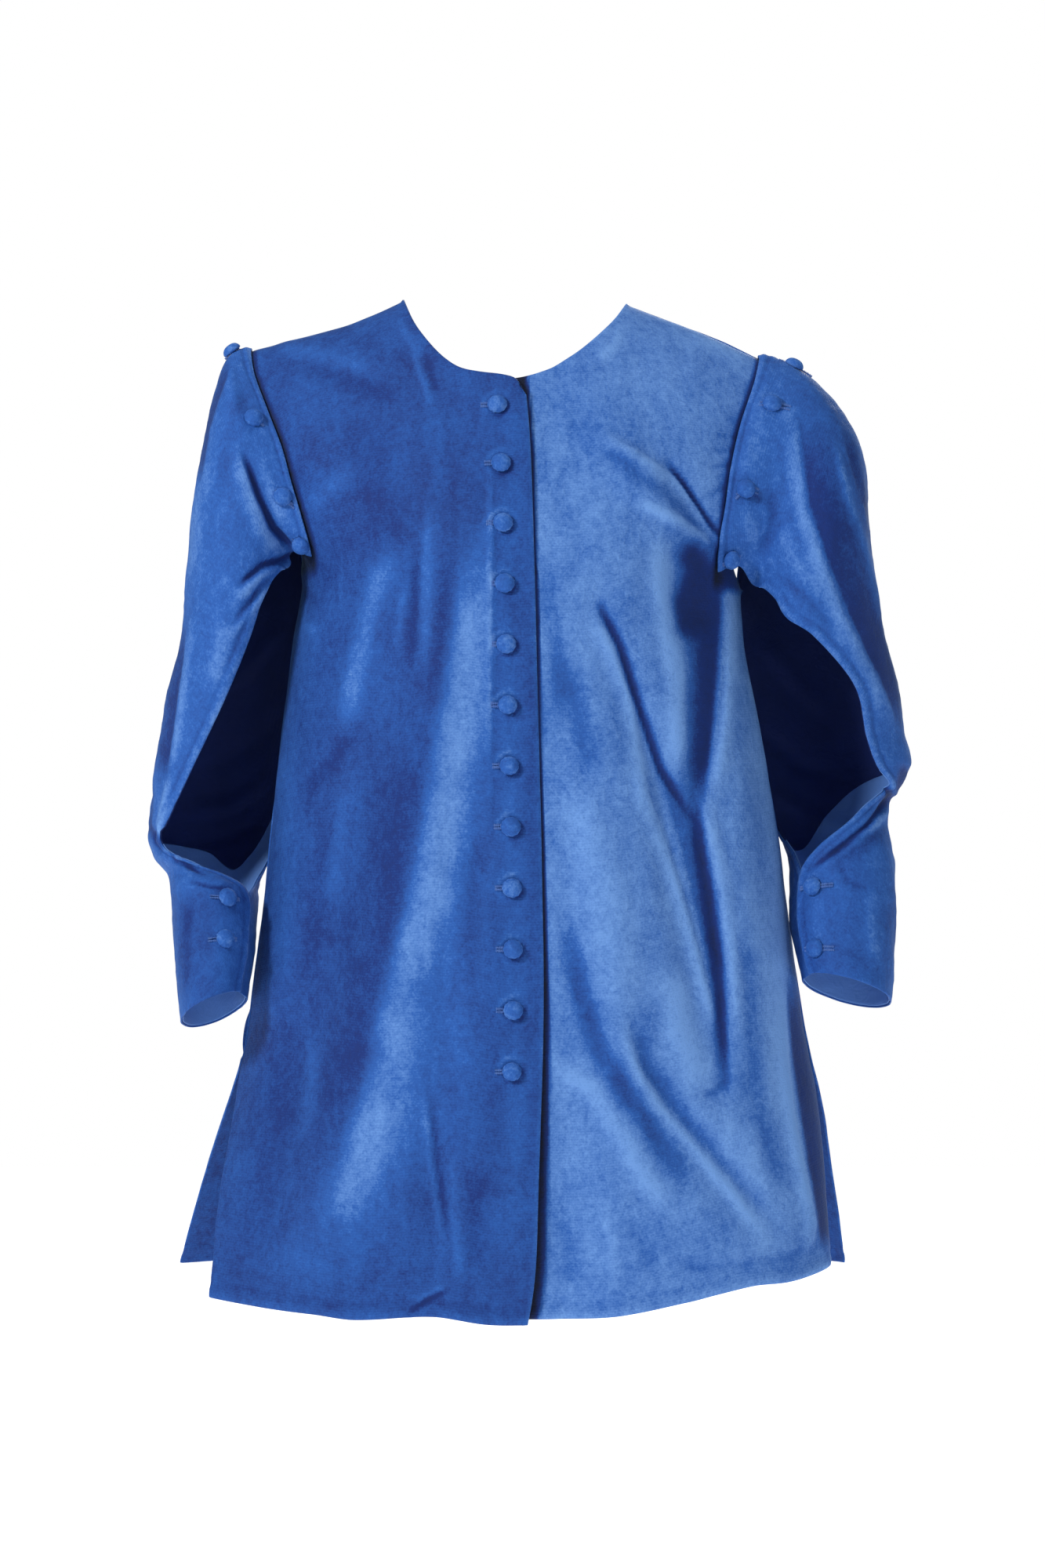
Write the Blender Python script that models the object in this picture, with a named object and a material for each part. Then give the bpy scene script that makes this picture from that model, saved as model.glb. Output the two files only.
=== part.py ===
"""A hip-length medieval surcoat of velvet, filled out as if worn and buttoned down the front.

The coat is cut as two fronts, a back and two set-on sleeves, lined in the sleeves and faced at the
cuffs. Sizes are in millimetres and turned into metres when a mesh is made. The front faces -Y, the
wearer's left is +X, +Z is up, and the origin lies midway between the shoulder tips, where the
wearer's shoulders carry the coat.
"""

import math
from collections import namedtuple

import bmesh
import bpy
import numpy as np

MM = 0.001

# Driving sizes
BODY_WALL = 2.0
SLEEVE_WALL = 1.2
LINING_WALL = 0.9
LAYER_GAP = 0.35
SEAM_GAP = 0.3
BUTTON_WIDTH = 16.0
BUTTON_RISE = 5.2
BUTTON_SIDES = 10
FRONT_BUTTONS = 12
FRONT_BUTTON_TOP = -65.0
FRONT_BUTTON_PITCH = 46.2
BUTTON_FROM_EDGE = 22.5
BUTTON_LIFT = 0.7
SHOULDER_SEAM_Y = 4.0
SHOULDER_ROUNDNESS = 1.8
NECK_SPREAD = 1.25
FOLDS_CLEAR_OF_BUTTONS = (28.0, 62.0)
FOLDS_CLEAR_OF_SEAM = (1.0, 0.86)
UNDERLAP_DEEPENS = (-420.0, -740.0)
UNDERLAP_ENDS = (86.0, 34.0)
TIP_TURNS = (5.0, 45.0)
CUFF_UNDER_TURNS = (160.0, 192.0)
FOLD_ENDS = (0.04, 0.96)
UNDERLAP_REACH = 26.0
UNDERLAP_TOP = 2.9
UNDERLAP_HEM = 8.0
SLEEVE_EDGE_RISE = 1.8
SLEEVE_RISE = 4.2
ARMHOLE_PUFF = 11.0
CUFF_UNDER = 4.0
VENT_TOP = -575.0
NECK_SHARE = 0.5
COLUMN_TURN = 80.0
ROWS_BELOW_ARM = 0.72
HEM_BACK = -748.0

# Grid fineness of each panel: cells across and cells along
FRONT_GRID = (16, 32)
BACK_GRID = (20, 22)
SLEEVE_COLUMNS = 14
ROWS_PER_STATION = 2
LINING_FIRST_ROW = 3
BORDER_REACH = 4.0
FACING_SETBACK = 0.06

BLUE_DEEP = (0.022, 0.085, 0.36, 1.0)
BLUE_LIGHT = (0.045, 0.14, 0.43, 1.0)
BLUE_FACING = (0.06, 0.17, 0.47, 1.0)
NAVY = (0.004, 0.009, 0.035, 1.0)

# The body's cross-section, a row for each level. right and left are the half widths of the front
# at its side edge, right_back and left_back those of the back; front and back are the depths on
# the centre line, right_y, left_y and back_y the depths of the side edges, and the rolls say how
# far round towards the side each front turns.
Level = namedtuple(
    "Level",
    "z right left right_back left_back front back right_y left_y back_y right_roll left_roll",
)
LEVELS = (
    Level(60, 250, 238, 250, 238, -106, 92, 0, 0, 0, 84, 85),
    Level(-12, 246, 234, 246, 234, -108, 98, 0, 0, 0, 84, 85),
    Level(-60, 238, 224, 238, 224, -112, 102, 0, 0, 0, 84, 85),
    Level(-110, 216, 209, 216, 209, -116, 104, 0, 0, 0, 84, 85),
    Level(-150, 194, 197, 194, 197, -118, 105, 0, 0, 0, 83, 85),
    Level(-190, 171, 183, 171, 183, -120, 105, 0, 0, 0, 82, 85),
    Level(-243, 177, 184.5, 177, 184.5, -122, 104, 0, 0, 0, 80, 86),
    Level(-300, 184, 194, 184, 194, -124, 104, 0, 0, 0, 77, 86),
    Level(-356, 190, 204.5, 190, 204.5, -126, 106, 0, 0, 0, 74, 86),
    Level(-412, 196, 214, 196, 214, -128, 108, 0, 0, 0, 72, 86),
    Level(-462, 201, 220, 201, 220, -130, 110, 0, 0, 0, 70, 86),
    Level(-517, 208.6, 228, 208.6, 228, -131, 112, 0, 0, 0, 68, 86),
    Level(-575, 216.5, 238, 216.5, 238, -132, 114, 0, 0, 0, 66, 86),
    Level(-610, 221, 243, 229, 247, -133, 116, -16, -8, 12, 65, 86),
    Level(-660, 228, 247, 247, 257, -134, 118, -42, -22, 40, 64, 86),
    Level(-700, 232, 249, 260, 264, -134, 119, -58, -32, 56, 64, 86),
    Level(-745, 235, 249, 273, 271, -134, 120, -74, -40, 72, 64, 86),
    Level(-775, 237, 249, 280, 275, -134, 120, -80, -42, 76, 64, 86),
)

# Outlines seen from the front, a row for each point: distance out from the centre line and height
Point = namedtuple("Point", "out z")
NECKLINE_RIGHT = (
    Point(-8.0, -55.0),
    Point(-3.0, -45.0),
    Point(6.0, -41.0),
    Point(33.0, -36.5),
    Point(45.0, -32.0),
    Point(57.5, -22.0),
    Point(70.0, -7.0),
    Point(80.0, 9.0),
    Point(88.6, 30.0),
)
NECKLINE_LEFT = (
    Point(-26.0, -43.0),
    Point(0.0, -43.0),
    Point(27.5, -35.0),
    Point(42.0, -26.0),
    Point(55.0, -16.0),
    Point(70.7, -1.0),
    Point(81.0, 11.0),
    Point(90.8, 27.0),
)
NECKLINE_BACK = (
    Point(0.0, -31.0),
    Point(40.0, -24.0),
    Point(60.0, -12.0),
    Point(76.0, 6.0),
    Point(85.0, 19.0),
    Point(90.0, 28.0),
)
SHOULDER_RIGHT = (
    Point(0.0, 72.0),
    Point(60.0, 45.0),
    Point(88.6, 30.0),
    Point(134.0, 10.5),
    Point(172.0, 0.5),
    Point(206.0, -9.0),
    Point(219.0, -13.0),
    Point(240.0, -20.0),
)
SHOULDER_LEFT = (
    Point(0.0, 68.0),
    Point(60.0, 42.0),
    Point(90.8, 27.0),
    Point(153.0, 3.4),
    Point(194.0, -15.0),
    Point(207.0, -20.0),
    Point(235.0, -30.0),
)
HEM_RIGHT = (
    Point(-25.0, -764.0),
    Point(16.0, -764.0),
    Point(60.0, -758.5),
    Point(120.0, -762.0),
    Point(150.0, -759.0),
    Point(190.0, -756.0),
    Point(240.0, -752.0),
)
HEM_LEFT = (
    Point(-30.0, -760.0),
    Point(20.0, -761.0),
    Point(75.0, -759.0),
    Point(130.0, -750.0),
    Point(183.0, -740.0),
    Point(215.0, -739.0),
    Point(250.0, -733.0),
)

# The front edge of the wearer's right front: how far past the centre line it reaches at each height
EdgeRow = namedtuple("EdgeRow", "z past")
FRONT_EDGE = (
    EdgeRow(-40, 8.0),
    EdgeRow(-93, 12.4),
    EdgeRow(-177, 15.3),
    EdgeRow(-297, 18.3),
    EdgeRow(-415, 21.2),
    EdgeRow(-533, 22.4),
    EdgeRow(-652, 18.8),
    EdgeRow(-727, 16.0),
    EdgeRow(-780, 8.0),
)

# Armholes, a row for each height: how far out the body's edge lies, on the front and on the back,
# and how far out the edge of the sleeve that is buttoned over it lies
ArmholeRow = namedtuple("ArmholeRow", "z front back sleeve")
ARMHOLE_RIGHT = (
    ArmholeRow(-190, 171.0, 171.0, 157.0),
    ArmholeRow(-175, 169.0, 171.0, 157.5),
    ArmholeRow(-150, 175.0, 179.0, 163.5),
    ArmholeRow(-121, 185.0, 190.0, 172.0),
    ArmholeRow(-93, 193.0, 198.0, 180.0),
    ArmholeRow(-63, 204.0, 207.0, 192.0),
    ArmholeRow(-33, 214.0, 214.5, 204.0),
    ArmholeRow(-13, 219.0, 219.0, 209.0),
)
ARMHOLE_LEFT = (
    ArmholeRow(-203, 182.5, 182.5, 160.0),
    ArmholeRow(-186, 174.0, 177.0, 160.0),
    ArmholeRow(-161, 175.0, 179.0, 162.0),
    ArmholeRow(-138, 177.0, 182.0, 164.5),
    ArmholeRow(-109, 182.0, 188.0, 168.5),
    ArmholeRow(-74, 190.0, 195.0, 177.0),
    ArmholeRow(-40, 201.0, 203.0, 189.0),
    ArmholeRow(-20, 207.0, 207.0, 195.0),
)

# Sleeve rings from the shoulder to the hem. Each ring is an oval through its outer, inner, front
# and back points; tuck is how far in the back half reaches, lift raises the front over the back,
# and the sleeve's cloth runs round from open at the front edge of the slit to shut behind, in
# degrees from the outer point.
Ring = namedtuple("Ring", "out z_out inner z_in tuck front back lift open shut")
SLEEVE_RIGHT = (
    Ring(233, -25, 172, -197, 160, -60, 62, 0, 148, -128),
    Ring(245, -68, 175, -208, 158, -65, 68, 0, 138, -142),
    Ring(256, -138, 178, -226, 157, -64, 72, 0, 126, -145),
    Ring(265, -228, 181, -252, 157, -57, 76, 0, 113, -143),
    Ring(280, -293, 185, -300, 162, -48, 80, 0, 94, -140),
    Ring(290, -350, 191, -352, 169, -38, 80, 0, 71, -141),
    Ring(293, -384, 198, -386, 177, -34, 74, 0, 54, -143),
    Ring(293, -402, 205, -405, 184, -32, 70, 0, 43, -148),
    Ring(287, -417, 208, -421, 196, -34, 64, 3, 74, -160),
    Ring(276, -430, 206, -436, 203, -40, 56, 6, 122, -180),
    Ring(273, -444, 203, -449, 203, -50, 44, 8, 148, -204),
    Ring(268, -490, 204, -484, 204, -64, 24, 10, 152, -222),
    Ring(262, -544, 209, -522, 209, -76, 8, 12, 152, -222),
)
SLEEVE_LEFT = (
    Ring(240, -34, 184, -212, 172, -56, 62, 0, 148, -138),
    Ring(266, -66, 187, -222, 170, -64, 68, 0, 139, -147),
    Ring(281, -104, 189, -234, 169, -67, 72, 0, 131, -147),
    Ring(285, -165, 190, -246, 168, -66, 76, 0, 121, -145),
    Ring(293, -215, 191, -262, 169, -60, 79, 0, 98, -140),
    Ring(308, -275, 196, -287, 174, -50, 81, 0, 74, -140),
    Ring(314, -316, 202, -320, 181, -42, 78, 0, 70, -141),
    Ring(319, -339, 207, -344, 188, -38, 74, 0, 66, -144),
    Ring(314, -356, 211, -364, 196, -36, 68, 0, 48, -150),
    Ring(302, -371, 214, -384, 205, -37, 62, 3, 62, -162),
    Ring(299, -386, 216, -398, 212, -40, 56, 5, 84, -175),
    Ring(301, -404, 218, -412, 217, -46, 46, 7, 118, -190),
    Ring(303, -430, 218, -432, 218, -54, 34, 8, 148, -210),
    Ring(302, -470, 218, -468, 218, -64, 18, 10, 154, -222),
    Ring(297, -528, 226, -508, 226, -76, 4, 12, 154, -222),
)

# The turns between which the sleeve's edge, and the ring over the armhole, run round
HEAD_EDGE = (166, -126)
HEAD_ARMHOLE = (143, -117)

# The largest folds, a row for each: the line of its crest or bottom through three points seen from
# the front, how wide it is, and how far it rises (or sinks, below zero)
Fold = namedtuple("Fold", "x_top z_top x_mid z_mid x_low z_low width rise")
FOLDS_RIGHT = (
    Fold(-34, -180, -78, -420, -168, -748, 26, 8),
    Fold(-108, -260, -142, -480, -208, -720, 26, -6),
    Fold(-30, -430, -48, -600, -66, -750, 20, -5),
    Fold(-104, -205, -122, -270, -150, -345, 13, 3),
    Fold(-160, -420, -186, -560, -214, -700, 16, 4),
)
FOLDS_LEFT = (
    Fold(110, -104, 136, -132, 158, -176, 13, -6),
    Fold(78, -100, 116, -142, 142, -200, 16, 5),
    Fold(118, -160, 138, -206, 148, -256, 20, -7),
    Fold(64, -222, 112, -350, 156, -590, 16, -7),
    Fold(154, -240, 144, -370, 160, -560, 14, -4),
    Fold(172, -270, 178, -400, 194, -620, 18, 5),
    Fold(92, -520, 128, -620, 190, -690, 20, -5),
    Fold(48, -330, 78, -500, 104, -640, 20, 4),
)
FOLDS_BACK = (
    Fold(40, -60, 20, -300, 52, -745, 24, 6),
    Fold(-46, -80, -62, -320, -96, -740, 24, 6),
    Fold(-8, -200, -14, -420, -24, -740, 22, -6),
    Fold(104, -180, 126, -400, 168, -735, 22, -6),
    Fold(-110, -210, -136, -420, -176, -735, 22, -6),
    Fold(150, -260, 172, -450, 214, -730, 18, 5),
    Fold(-150, -240, -180, -470, -218, -730, 18, 5),
)

# Where the sleeves' buttons sit: degrees round from the outer point and distance along the rings
SleeveButton = namedtuple("SleeveButton", "name turn station")
BUTTONS_RIGHT = (
    SleeveButton("front_1", 70.0, 0.98),
    SleeveButton("front_2", 113.0, 0.67),
    SleeveButton("front_3", 146.0, 0.46),
    SleeveButton("top", 4.0, 1.30),
    SleeveButton("back_1", -42.0, 0.60),
    SleeveButton("back_2", -70.0, 0.62),
    SleeveButton("back_3", -96.0, 0.62),
    SleeveButton("cuff_1", 112.0, 12.18),
    SleeveButton("cuff_2", 111.0, 13.00),
)
BUTTONS_LEFT = (
    SleeveButton("front_1", 54.0, 1.20),
    SleeveButton("front_2", 100.0, 0.95),
    SleeveButton("front_3", 145.0, 0.62),
    SleeveButton("top", 6.0, 1.50),
    SleeveButton("back_1", -42.0, 0.70),
    SleeveButton("back_2", -76.0, 0.65),
    SleeveButton("back_3", -107.0, 0.60),
    SleeveButton("cuff_1", 126.0, 14.35),
    SleeveButton("cuff_2", 131.0, 15.50),
)

# Where the sleeve lining stops and the cuff facing starts, as a station on the rings, a row for
# each place round the sleeve (0 at the front edge of the slit, 1 at its back edge)
FacingRow = namedtuple("FacingRow", "round right left")
FACING_TOP = (
    FacingRow(0.0, 9.1, 9.2),
    FacingRow(0.3, 9.1, 9.2),
    FacingRow(0.5, 9.2, 9.6),
    FacingRow(0.65, 9.5, 10.9),
    FacingRow(0.8, 10.1, 12.6),
    FacingRow(1.0, 6.8, 12.2),
)

Side = namedtuple(
    "Side", "name sign neckline shoulder hem armhole rings folds buttons facing_station"
)
RIGHT = Side(
    "right", -1, NECKLINE_RIGHT, SHOULDER_RIGHT, HEM_RIGHT, ARMHOLE_RIGHT, SLEEVE_RIGHT,
    FOLDS_RIGHT, BUTTONS_RIGHT, 9.0,
)
LEFT = Side(
    "left", 1, NECKLINE_LEFT, SHOULDER_LEFT, HEM_LEFT, ARMHOLE_LEFT, SLEEVE_LEFT,
    FOLDS_LEFT, BUTTONS_LEFT, 10.5,
)


def clear_scene():
    for thing in list(bpy.data.objects):
        bpy.data.objects.remove(thing, do_unlink=True)


def smoothstep(low, high, value):
    share = min(max((value - low) / (high - low), 0.0), 1.0)
    return share * share * (3 - 2 * share)


def lookup(rows, key, column, at):
    """Read a column of a table at a value of its key column, on a smooth curve through the rows."""
    keys = [getattr(row, key) for row in rows]
    values = [getattr(row, column) for row in rows]
    if keys[0] > keys[-1]:
        keys.reverse()
        values.reverse()
    at = min(max(at, keys[0]), keys[-1])
    cell = min(max(int(np.searchsorted(keys, at)) - 1, 0), len(keys) - 2)
    slopes = [
        (values[min(k + 1, len(keys) - 1)] - values[max(k - 1, 0)])
        / (keys[min(k + 1, len(keys) - 1)] - keys[max(k - 1, 0)])
        for k in (cell, cell + 1)
    ]
    span = keys[cell + 1] - keys[cell]
    share = (at - keys[cell]) / span
    return (
        values[cell] * (1 + 2 * share) * (1 - share) ** 2
        + slopes[0] * span * share * (1 - share) ** 2
        + values[cell + 1] * share * share * (3 - 2 * share)
        - slopes[1] * span * share * share * (1 - share)
    )


def fold_height(folds, x, z):
    """How far the folds lift the cloth at a place seen from the front."""
    total = 0.0
    for fold in folds:
        crest = np.array(
            [(fold.x_top, fold.z_top), (fold.x_mid, fold.z_mid), (fold.x_low, fold.z_low)]
        )
        nearest = None
        for leg in (0, 1):
            run = crest[leg + 1] - crest[leg]
            share = float(np.dot((x, z) - crest[leg], run) / np.dot(run, run))
            share = min(max(share, 0.0), 1.0)
            distance = float(np.linalg.norm(crest[leg] + share * run - (x, z)))
            if nearest is None or distance < nearest[0]:
                nearest = (distance, (leg + share) / 2)
        fade = math.sin(math.pi * min(max(nearest[1], FOLD_ENDS[0]), FOLD_ENDS[1])) ** 0.5
        total += fold.rise * fade * math.exp(-((nearest[0] / fold.width) ** 2))
    return total


def underarm(side):
    return side.armhole[0].z


def body_point(side, face, out, z):
    """A point of the body's outer surface: out from the centre line on one side, at a height."""
    front = face == "front"
    half = lookup(LEVELS, "z", side.name if front else side.name + "_back", z)
    depth = lookup(LEVELS, "z", face, z)
    edge_y = lookup(LEVELS, "z", side.name + "_y" if front else "back_y", z)
    roll = math.radians(lookup(LEVELS, "z", side.name + "_roll", z))
    share = min(max(out / half, -1.0), 1.0)
    turn = math.asin(share * math.sin(roll))
    bulge = (math.cos(turn) - math.cos(roll)) / (1 - math.cos(roll))
    y = edge_y + (depth - edge_y) * bulge
    if z > underarm(side):
        seam_z = lookup(side.shoulder, "out", "z", abs(out))
        drop = min(max((seam_z - z) / (seam_z - underarm(side)), 0.0), 1.0)
        rounding = (1 - (1 - drop) ** SHOULDER_ROUNDNESS) ** (1 / SHOULDER_ROUNDNESS)
        y = SHOULDER_SEAM_Y + (y - SHOULDER_SEAM_Y) * rounding
    x = side.sign * out
    folds = side.folds if front else FOLDS_BACK
    rise = fold_height(folds, x, z)
    if front:
        rise *= smoothstep(*FOLDS_CLEAR_OF_BUTTONS, out)
    rise *= smoothstep(*FOLDS_CLEAR_OF_SEAM, share) if z > VENT_TOP else 1.0
    towards = -1 if front else 1
    x += side.sign * math.sin(turn) * rise
    y += towards * math.cos(turn) * rise
    if front and side is LEFT:
        under = UNDERLAP_TOP + (UNDERLAP_HEM - UNDERLAP_TOP) * smoothstep(*UNDERLAP_DEEPENS, z)
        y += under * smoothstep(*UNDERLAP_ENDS, out)
    return np.array((x, y, z))


def front_edge(side, z):
    """How far out the centre edge of a front lies; below zero it is past the centre line."""
    if side is LEFT:
        return -UNDERLAP_REACH
    return -lookup(FRONT_EDGE, "z", "past", z)


def side_edge(side, face, z):
    """How far out the side edge, or above the underarm the armhole edge, of a panel lies."""
    if z >= underarm(side):
        return lookup(side.armhole, "z", face, z)
    return lookup(LEVELS, "z", side.name if face == "front" else side.name + "_back", z)


def top_columns(side, face, count):
    """Where the columns of half a panel meet its top edge: neckline first, then shoulder seam."""
    line = side.neckline if face == "front" else NECKLINE_BACK
    inner, neck = line[0].out, side.neckline[-1].out
    tip = side.armhole[-1].front
    neck_cells = round(count * NECK_SHARE)
    places = []
    for column in range(count + 1):
        if column <= neck_cells:
            share = column / neck_cells
            places.append(inner + (neck - inner) * (1 - (1 - share) ** NECK_SPREAD))
        else:
            share = (column - neck_cells) / (count - neck_cells)
            places.append(neck + (tip - neck) * share)
    return places


def top_height(side, face, out):
    line = side.neckline if face == "front" else NECKLINE_BACK
    if out < side.neckline[-1].out - 0.01:
        return min(lookup(line, "out", "z", out), lookup(side.shoulder, "out", "z", max(out, 0)))
    return lookup(side.shoulder, "out", "z", out)


def panel_out(side, face, z, across, top_share, blend, inner_edge):
    """How far out a panel's column lies at a height, between its centre edge and side edge."""
    inner, outer = inner_edge(z), side_edge(side, face, z)
    turn = math.radians(COLUMN_TURN)
    even = math.sin(across * turn) / math.sin(turn)
    return inner + (outer - inner) * (even + (top_share - even) * blend)


def half_panel(side, face, columns, rows, inner_edge):
    """Points of half a body panel, hem row first, centre column first."""
    arm = underarm(side)
    tops = top_columns(side, face, columns)
    low_rows = round(rows * ROWS_BELOW_ARM)
    grid = np.zeros((rows + 1, columns + 1, 3))
    for row in range(rows + 1):
        for column in range(columns + 1):
            top_share = (tops[column] - tops[0]) / (tops[-1] - tops[0])
            across = column / columns
            if row <= low_rows:
                hem_out = panel_out(side, face, HEM_BACK, across, top_share, 0, inner_edge)
                hem_z = lookup(side.hem, "out", "z", hem_out) if face == "front" else HEM_BACK
                z = hem_z + (arm - hem_z) * row / low_rows
                out = panel_out(side, face, z, across, top_share, 0, inner_edge)
            else:
                share = (row - low_rows) / (rows - low_rows)
                z = arm + (top_height(side, face, tops[column]) - arm) * share
                out = panel_out(side, face, z, across, top_share, share, inner_edge)
            if row == rows:
                out = tops[column]
            grid[row, column] = body_point(side, face, out, z)
    return grid


def mitre_seams(side, face, grid, normals):
    """Square off a half panel's edges on the side seam and the shoulder seam, half a gap back."""
    away = -1 if face == "front" else 1
    last = grid.shape[1] - 1
    neck = round(last * NECK_SHARE)
    seam = [(row, last, 0.0) for row in range(grid.shape[0] - 1)
            if VENT_TOP < grid[row, last, 2] < underarm(side) + 1]
    seam += [(grid.shape[0] - 1, column, SHOULDER_SEAM_Y) for column in range(neck, last + 1)]
    for row, column, seam_y in seam:
        grid[row, column, 1] = seam_y + away * SEAM_GAP / 2
        normals[row, column, 1] = 0.0
        normals[row, column] /= np.linalg.norm(normals[row, column])


def body_normal(side, face, out, z):
    """The direction straight out of the body's surface, from small steps across and down it."""
    step = 3.0
    across = body_point(side, face, out + step, z) - body_point(side, face, out - step, z)
    down = body_point(side, face, out, z - step) - body_point(side, face, out, z)
    normal = np.cross(across, down)
    normal /= np.linalg.norm(normal)
    outward = -1 if face == "front" else 1
    return normal * (1 if normal[1] * outward > 0 else -1)


def armhole_place(side, turn, edge):
    """A point round the armhole: turn is 0 at the shoulder tip and 180 or -180 at the underarm."""
    face = "front" if turn >= 0 else "back"
    top, low = side.armhole[-1].z, side.armhole[0].z
    puff = 0.0
    rise = SLEEVE_RISE
    if edge == "sleeve":
        rise = SLEEVE_EDGE_RISE
        low += 10
        top = lookup(side.shoulder, "out", "z", side.armhole[-1].sleeve)
    else:
        puff = ARMHOLE_PUFF * math.sin(math.radians(turn))
    z = (top + low) / 2 + (top - low) / 2 * math.cos(math.radians(turn))
    out = lookup(side.armhole, "z", "sleeve" if edge == "sleeve" else face, z)
    z = min(z, lookup(side.shoulder, "out", "z", out) - 0.01)
    at = body_point(side, face, out, z)
    over_tip = np.array((side.sign * 0.2, 0.0, 1.0))
    clear_of_tip = smoothstep(*TIP_TURNS, abs(turn))
    away = over_tip + (body_normal(side, face, out, z) - over_tip) * clear_of_tip
    return at + away / np.linalg.norm(away) * rise - np.array((0.0, puff, 0.0))


def ring_place(side, ring, turn):
    """A point of a sleeve ring at a turn in degrees from its outer point, front first."""
    angle = math.radians(turn)
    inner = ring.inner if turn >= 0 else ring.tuck
    outer_point = np.array((ring.out, 0.0, ring.z_out))
    inner_point = np.array((inner, 0.0, ring.z_in))
    middle_y = (ring.front + ring.back) / 2
    half_depth = (ring.back - ring.front) / 2
    at = (outer_point + inner_point) / 2 + math.cos(angle) * (outer_point - inner_point) / 2
    at += math.sin(angle) * np.array((0.0, -half_depth, ring.lift))
    at[1] += middle_y
    inset = CUFF_UNDER * smoothstep(*CUFF_UNDER_TURNS, -turn)
    centre = np.array(((ring.out + inner) / 2, middle_y, at[2]))
    at += (centre - at) / np.linalg.norm(centre - at) * inset
    return at * np.array((side.sign, 1, 1))


def station_limits(side, index):
    """The turns at which a station's cloth starts and ends: sleeve edge, armhole, then rings."""
    limits = [HEAD_EDGE, HEAD_ARMHOLE] + [(ring.open, ring.shut) for ring in side.rings]
    return limits[index]


def sleeve_station(side, index, across):
    """A point on one of the sleeve's stations: its edge, the armhole under it, then the rings."""
    start, end = station_limits(side, index)
    turn = start + (end - start) * across
    if index == 0:
        return armhole_place(side, turn, "sleeve")
    if index == 1:
        return armhole_place(side, turn, "body")
    return ring_place(side, side.rings[index - 2], turn)


def sleeve_point(side, across, station):
    """A point of the sleeve's outer face, on a smooth line through the stations."""
    last = len(side.rings) + 1
    cell = min(max(int(station), 0), last - 1)
    share = station - cell
    picks = [min(max(cell + k, 0), last) for k in (-1, 0, 1, 2)]
    a, b, c, d = (sleeve_station(side, k, across) for k in picks)
    return 0.5 * (
        2 * b
        + (c - a) * share
        + (2 * a - 5 * b + 4 * c - d) * share**2
        + (3 * b - a - 3 * c + d) * share**3
    )


def station_across(side, turn, station):
    """Turn degrees round the sleeve into a share of the way across its cloth."""
    low = int(station)
    share = station - low
    first, after = station_limits(side, low), station_limits(side, low + 1)
    start = first[0] + (after[0] - first[0]) * share
    end = first[1] + (after[1] - first[1]) * share
    return (turn - start) / (end - start)


def sleeve_normal(side, across, station):
    """The direction straight out of the sleeve's cloth, from small steps along and round it."""
    step = 0.02
    low = min(max(station - step, 0.0), len(side.rings) + 1 - 2 * step)
    left = min(max(across - step, 0.0), 1 - 2 * step)
    along = sleeve_point(side, across, low + 2 * step) - sleeve_point(side, across, low)
    around = sleeve_point(side, left + 2 * step, station) - sleeve_point(side, left, station)
    normal = np.cross(along, around) * side.sign
    return normal / np.linalg.norm(normal)


def border_row(side):
    return round(side.facing_station * ROWS_PER_STATION)


def row_station(side, row, across):
    """The station of a row of the sleeve's grid, bent so that one row follows the facing's edge."""
    station = row / ROWS_PER_STATION
    bend = lookup(FACING_TOP, "round", side.name, across) - side.facing_station
    near = max(1 - abs(station - side.facing_station) / BORDER_REACH, 0.0)
    return station + bend * smoothstep(0, 1, near)


def sleeve_grid(side):
    rows = (len(side.rings) + 1) * ROWS_PER_STATION
    shares = [column / SLEEVE_COLUMNS for column in range(SLEEVE_COLUMNS + 1)]
    return np.array(
        [
            [sleeve_point(side, across, row_station(side, row, across)) for across in shares]
            for row in range(rows + 1)
        ]
    )


def grid_normals(grid, outward):
    """Unit normals of a grid of points, turned to agree with a direction function."""
    along = np.gradient(grid, axis=0)
    across = np.gradient(grid, axis=1)
    normals = np.cross(across, along)
    normals /= np.linalg.norm(normals, axis=2, keepdims=True)
    middle = grid.shape[0] // 2, grid.shape[1] // 2
    if np.dot(normals[middle], outward(grid[middle])) < 0:
        normals = -normals
    return normals


def wall_mesh(name, grid, normals, depth, thickness):
    """A closed wall: the grid moved in by depth is its outer face, and thickness its wall."""
    rows, columns = grid.shape[:2]
    outer = grid - normals * depth
    inner = grid - normals * (depth + thickness)
    mesh = bmesh.new()
    layers = []
    for layer in (outer, inner):
        layers.append(
            [[mesh.verts.new(layer[r, c] * MM) for c in range(columns)] for r in range(rows)]
        )
    for r in range(rows - 1):
        for c in range(columns - 1):
            for layer, flip in ((layers[0], False), (layers[1], True)):
                corners = [layer[r][c], layer[r][c + 1], layer[r + 1][c + 1], layer[r + 1][c]]
                mesh.faces.new(corners[::-1] if flip else corners)
    rim = [(0, c) for c in range(columns)]
    rim += [(r, columns - 1) for r in range(1, rows)]
    rim += [(rows - 1, c) for c in range(columns - 2, -1, -1)]
    rim += [(r, 0) for r in range(rows - 2, 0, -1)]
    for here, after in zip(rim, rim[1:] + rim[:1]):
        mesh.faces.new(
            [
                layers[0][after[0]][after[1]],
                layers[0][here[0]][here[1]],
                layers[1][here[0]][here[1]],
                layers[1][after[0]][after[1]],
            ]
        )
    bmesh.ops.triangulate(mesh, faces=mesh.faces[:])
    if mesh.calc_volume(signed=True) < 0:
        bmesh.ops.reverse_faces(mesh, faces=mesh.faces[:])
    data = bpy.data.meshes.new(name)
    mesh.to_mesh(data)
    mesh.free()
    return data


def add_object(name, data, material):
    data.materials.append(material)
    thing = bpy.data.objects.new(name, data)
    bpy.context.scene.collection.objects.link(thing)
    return thing


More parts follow.
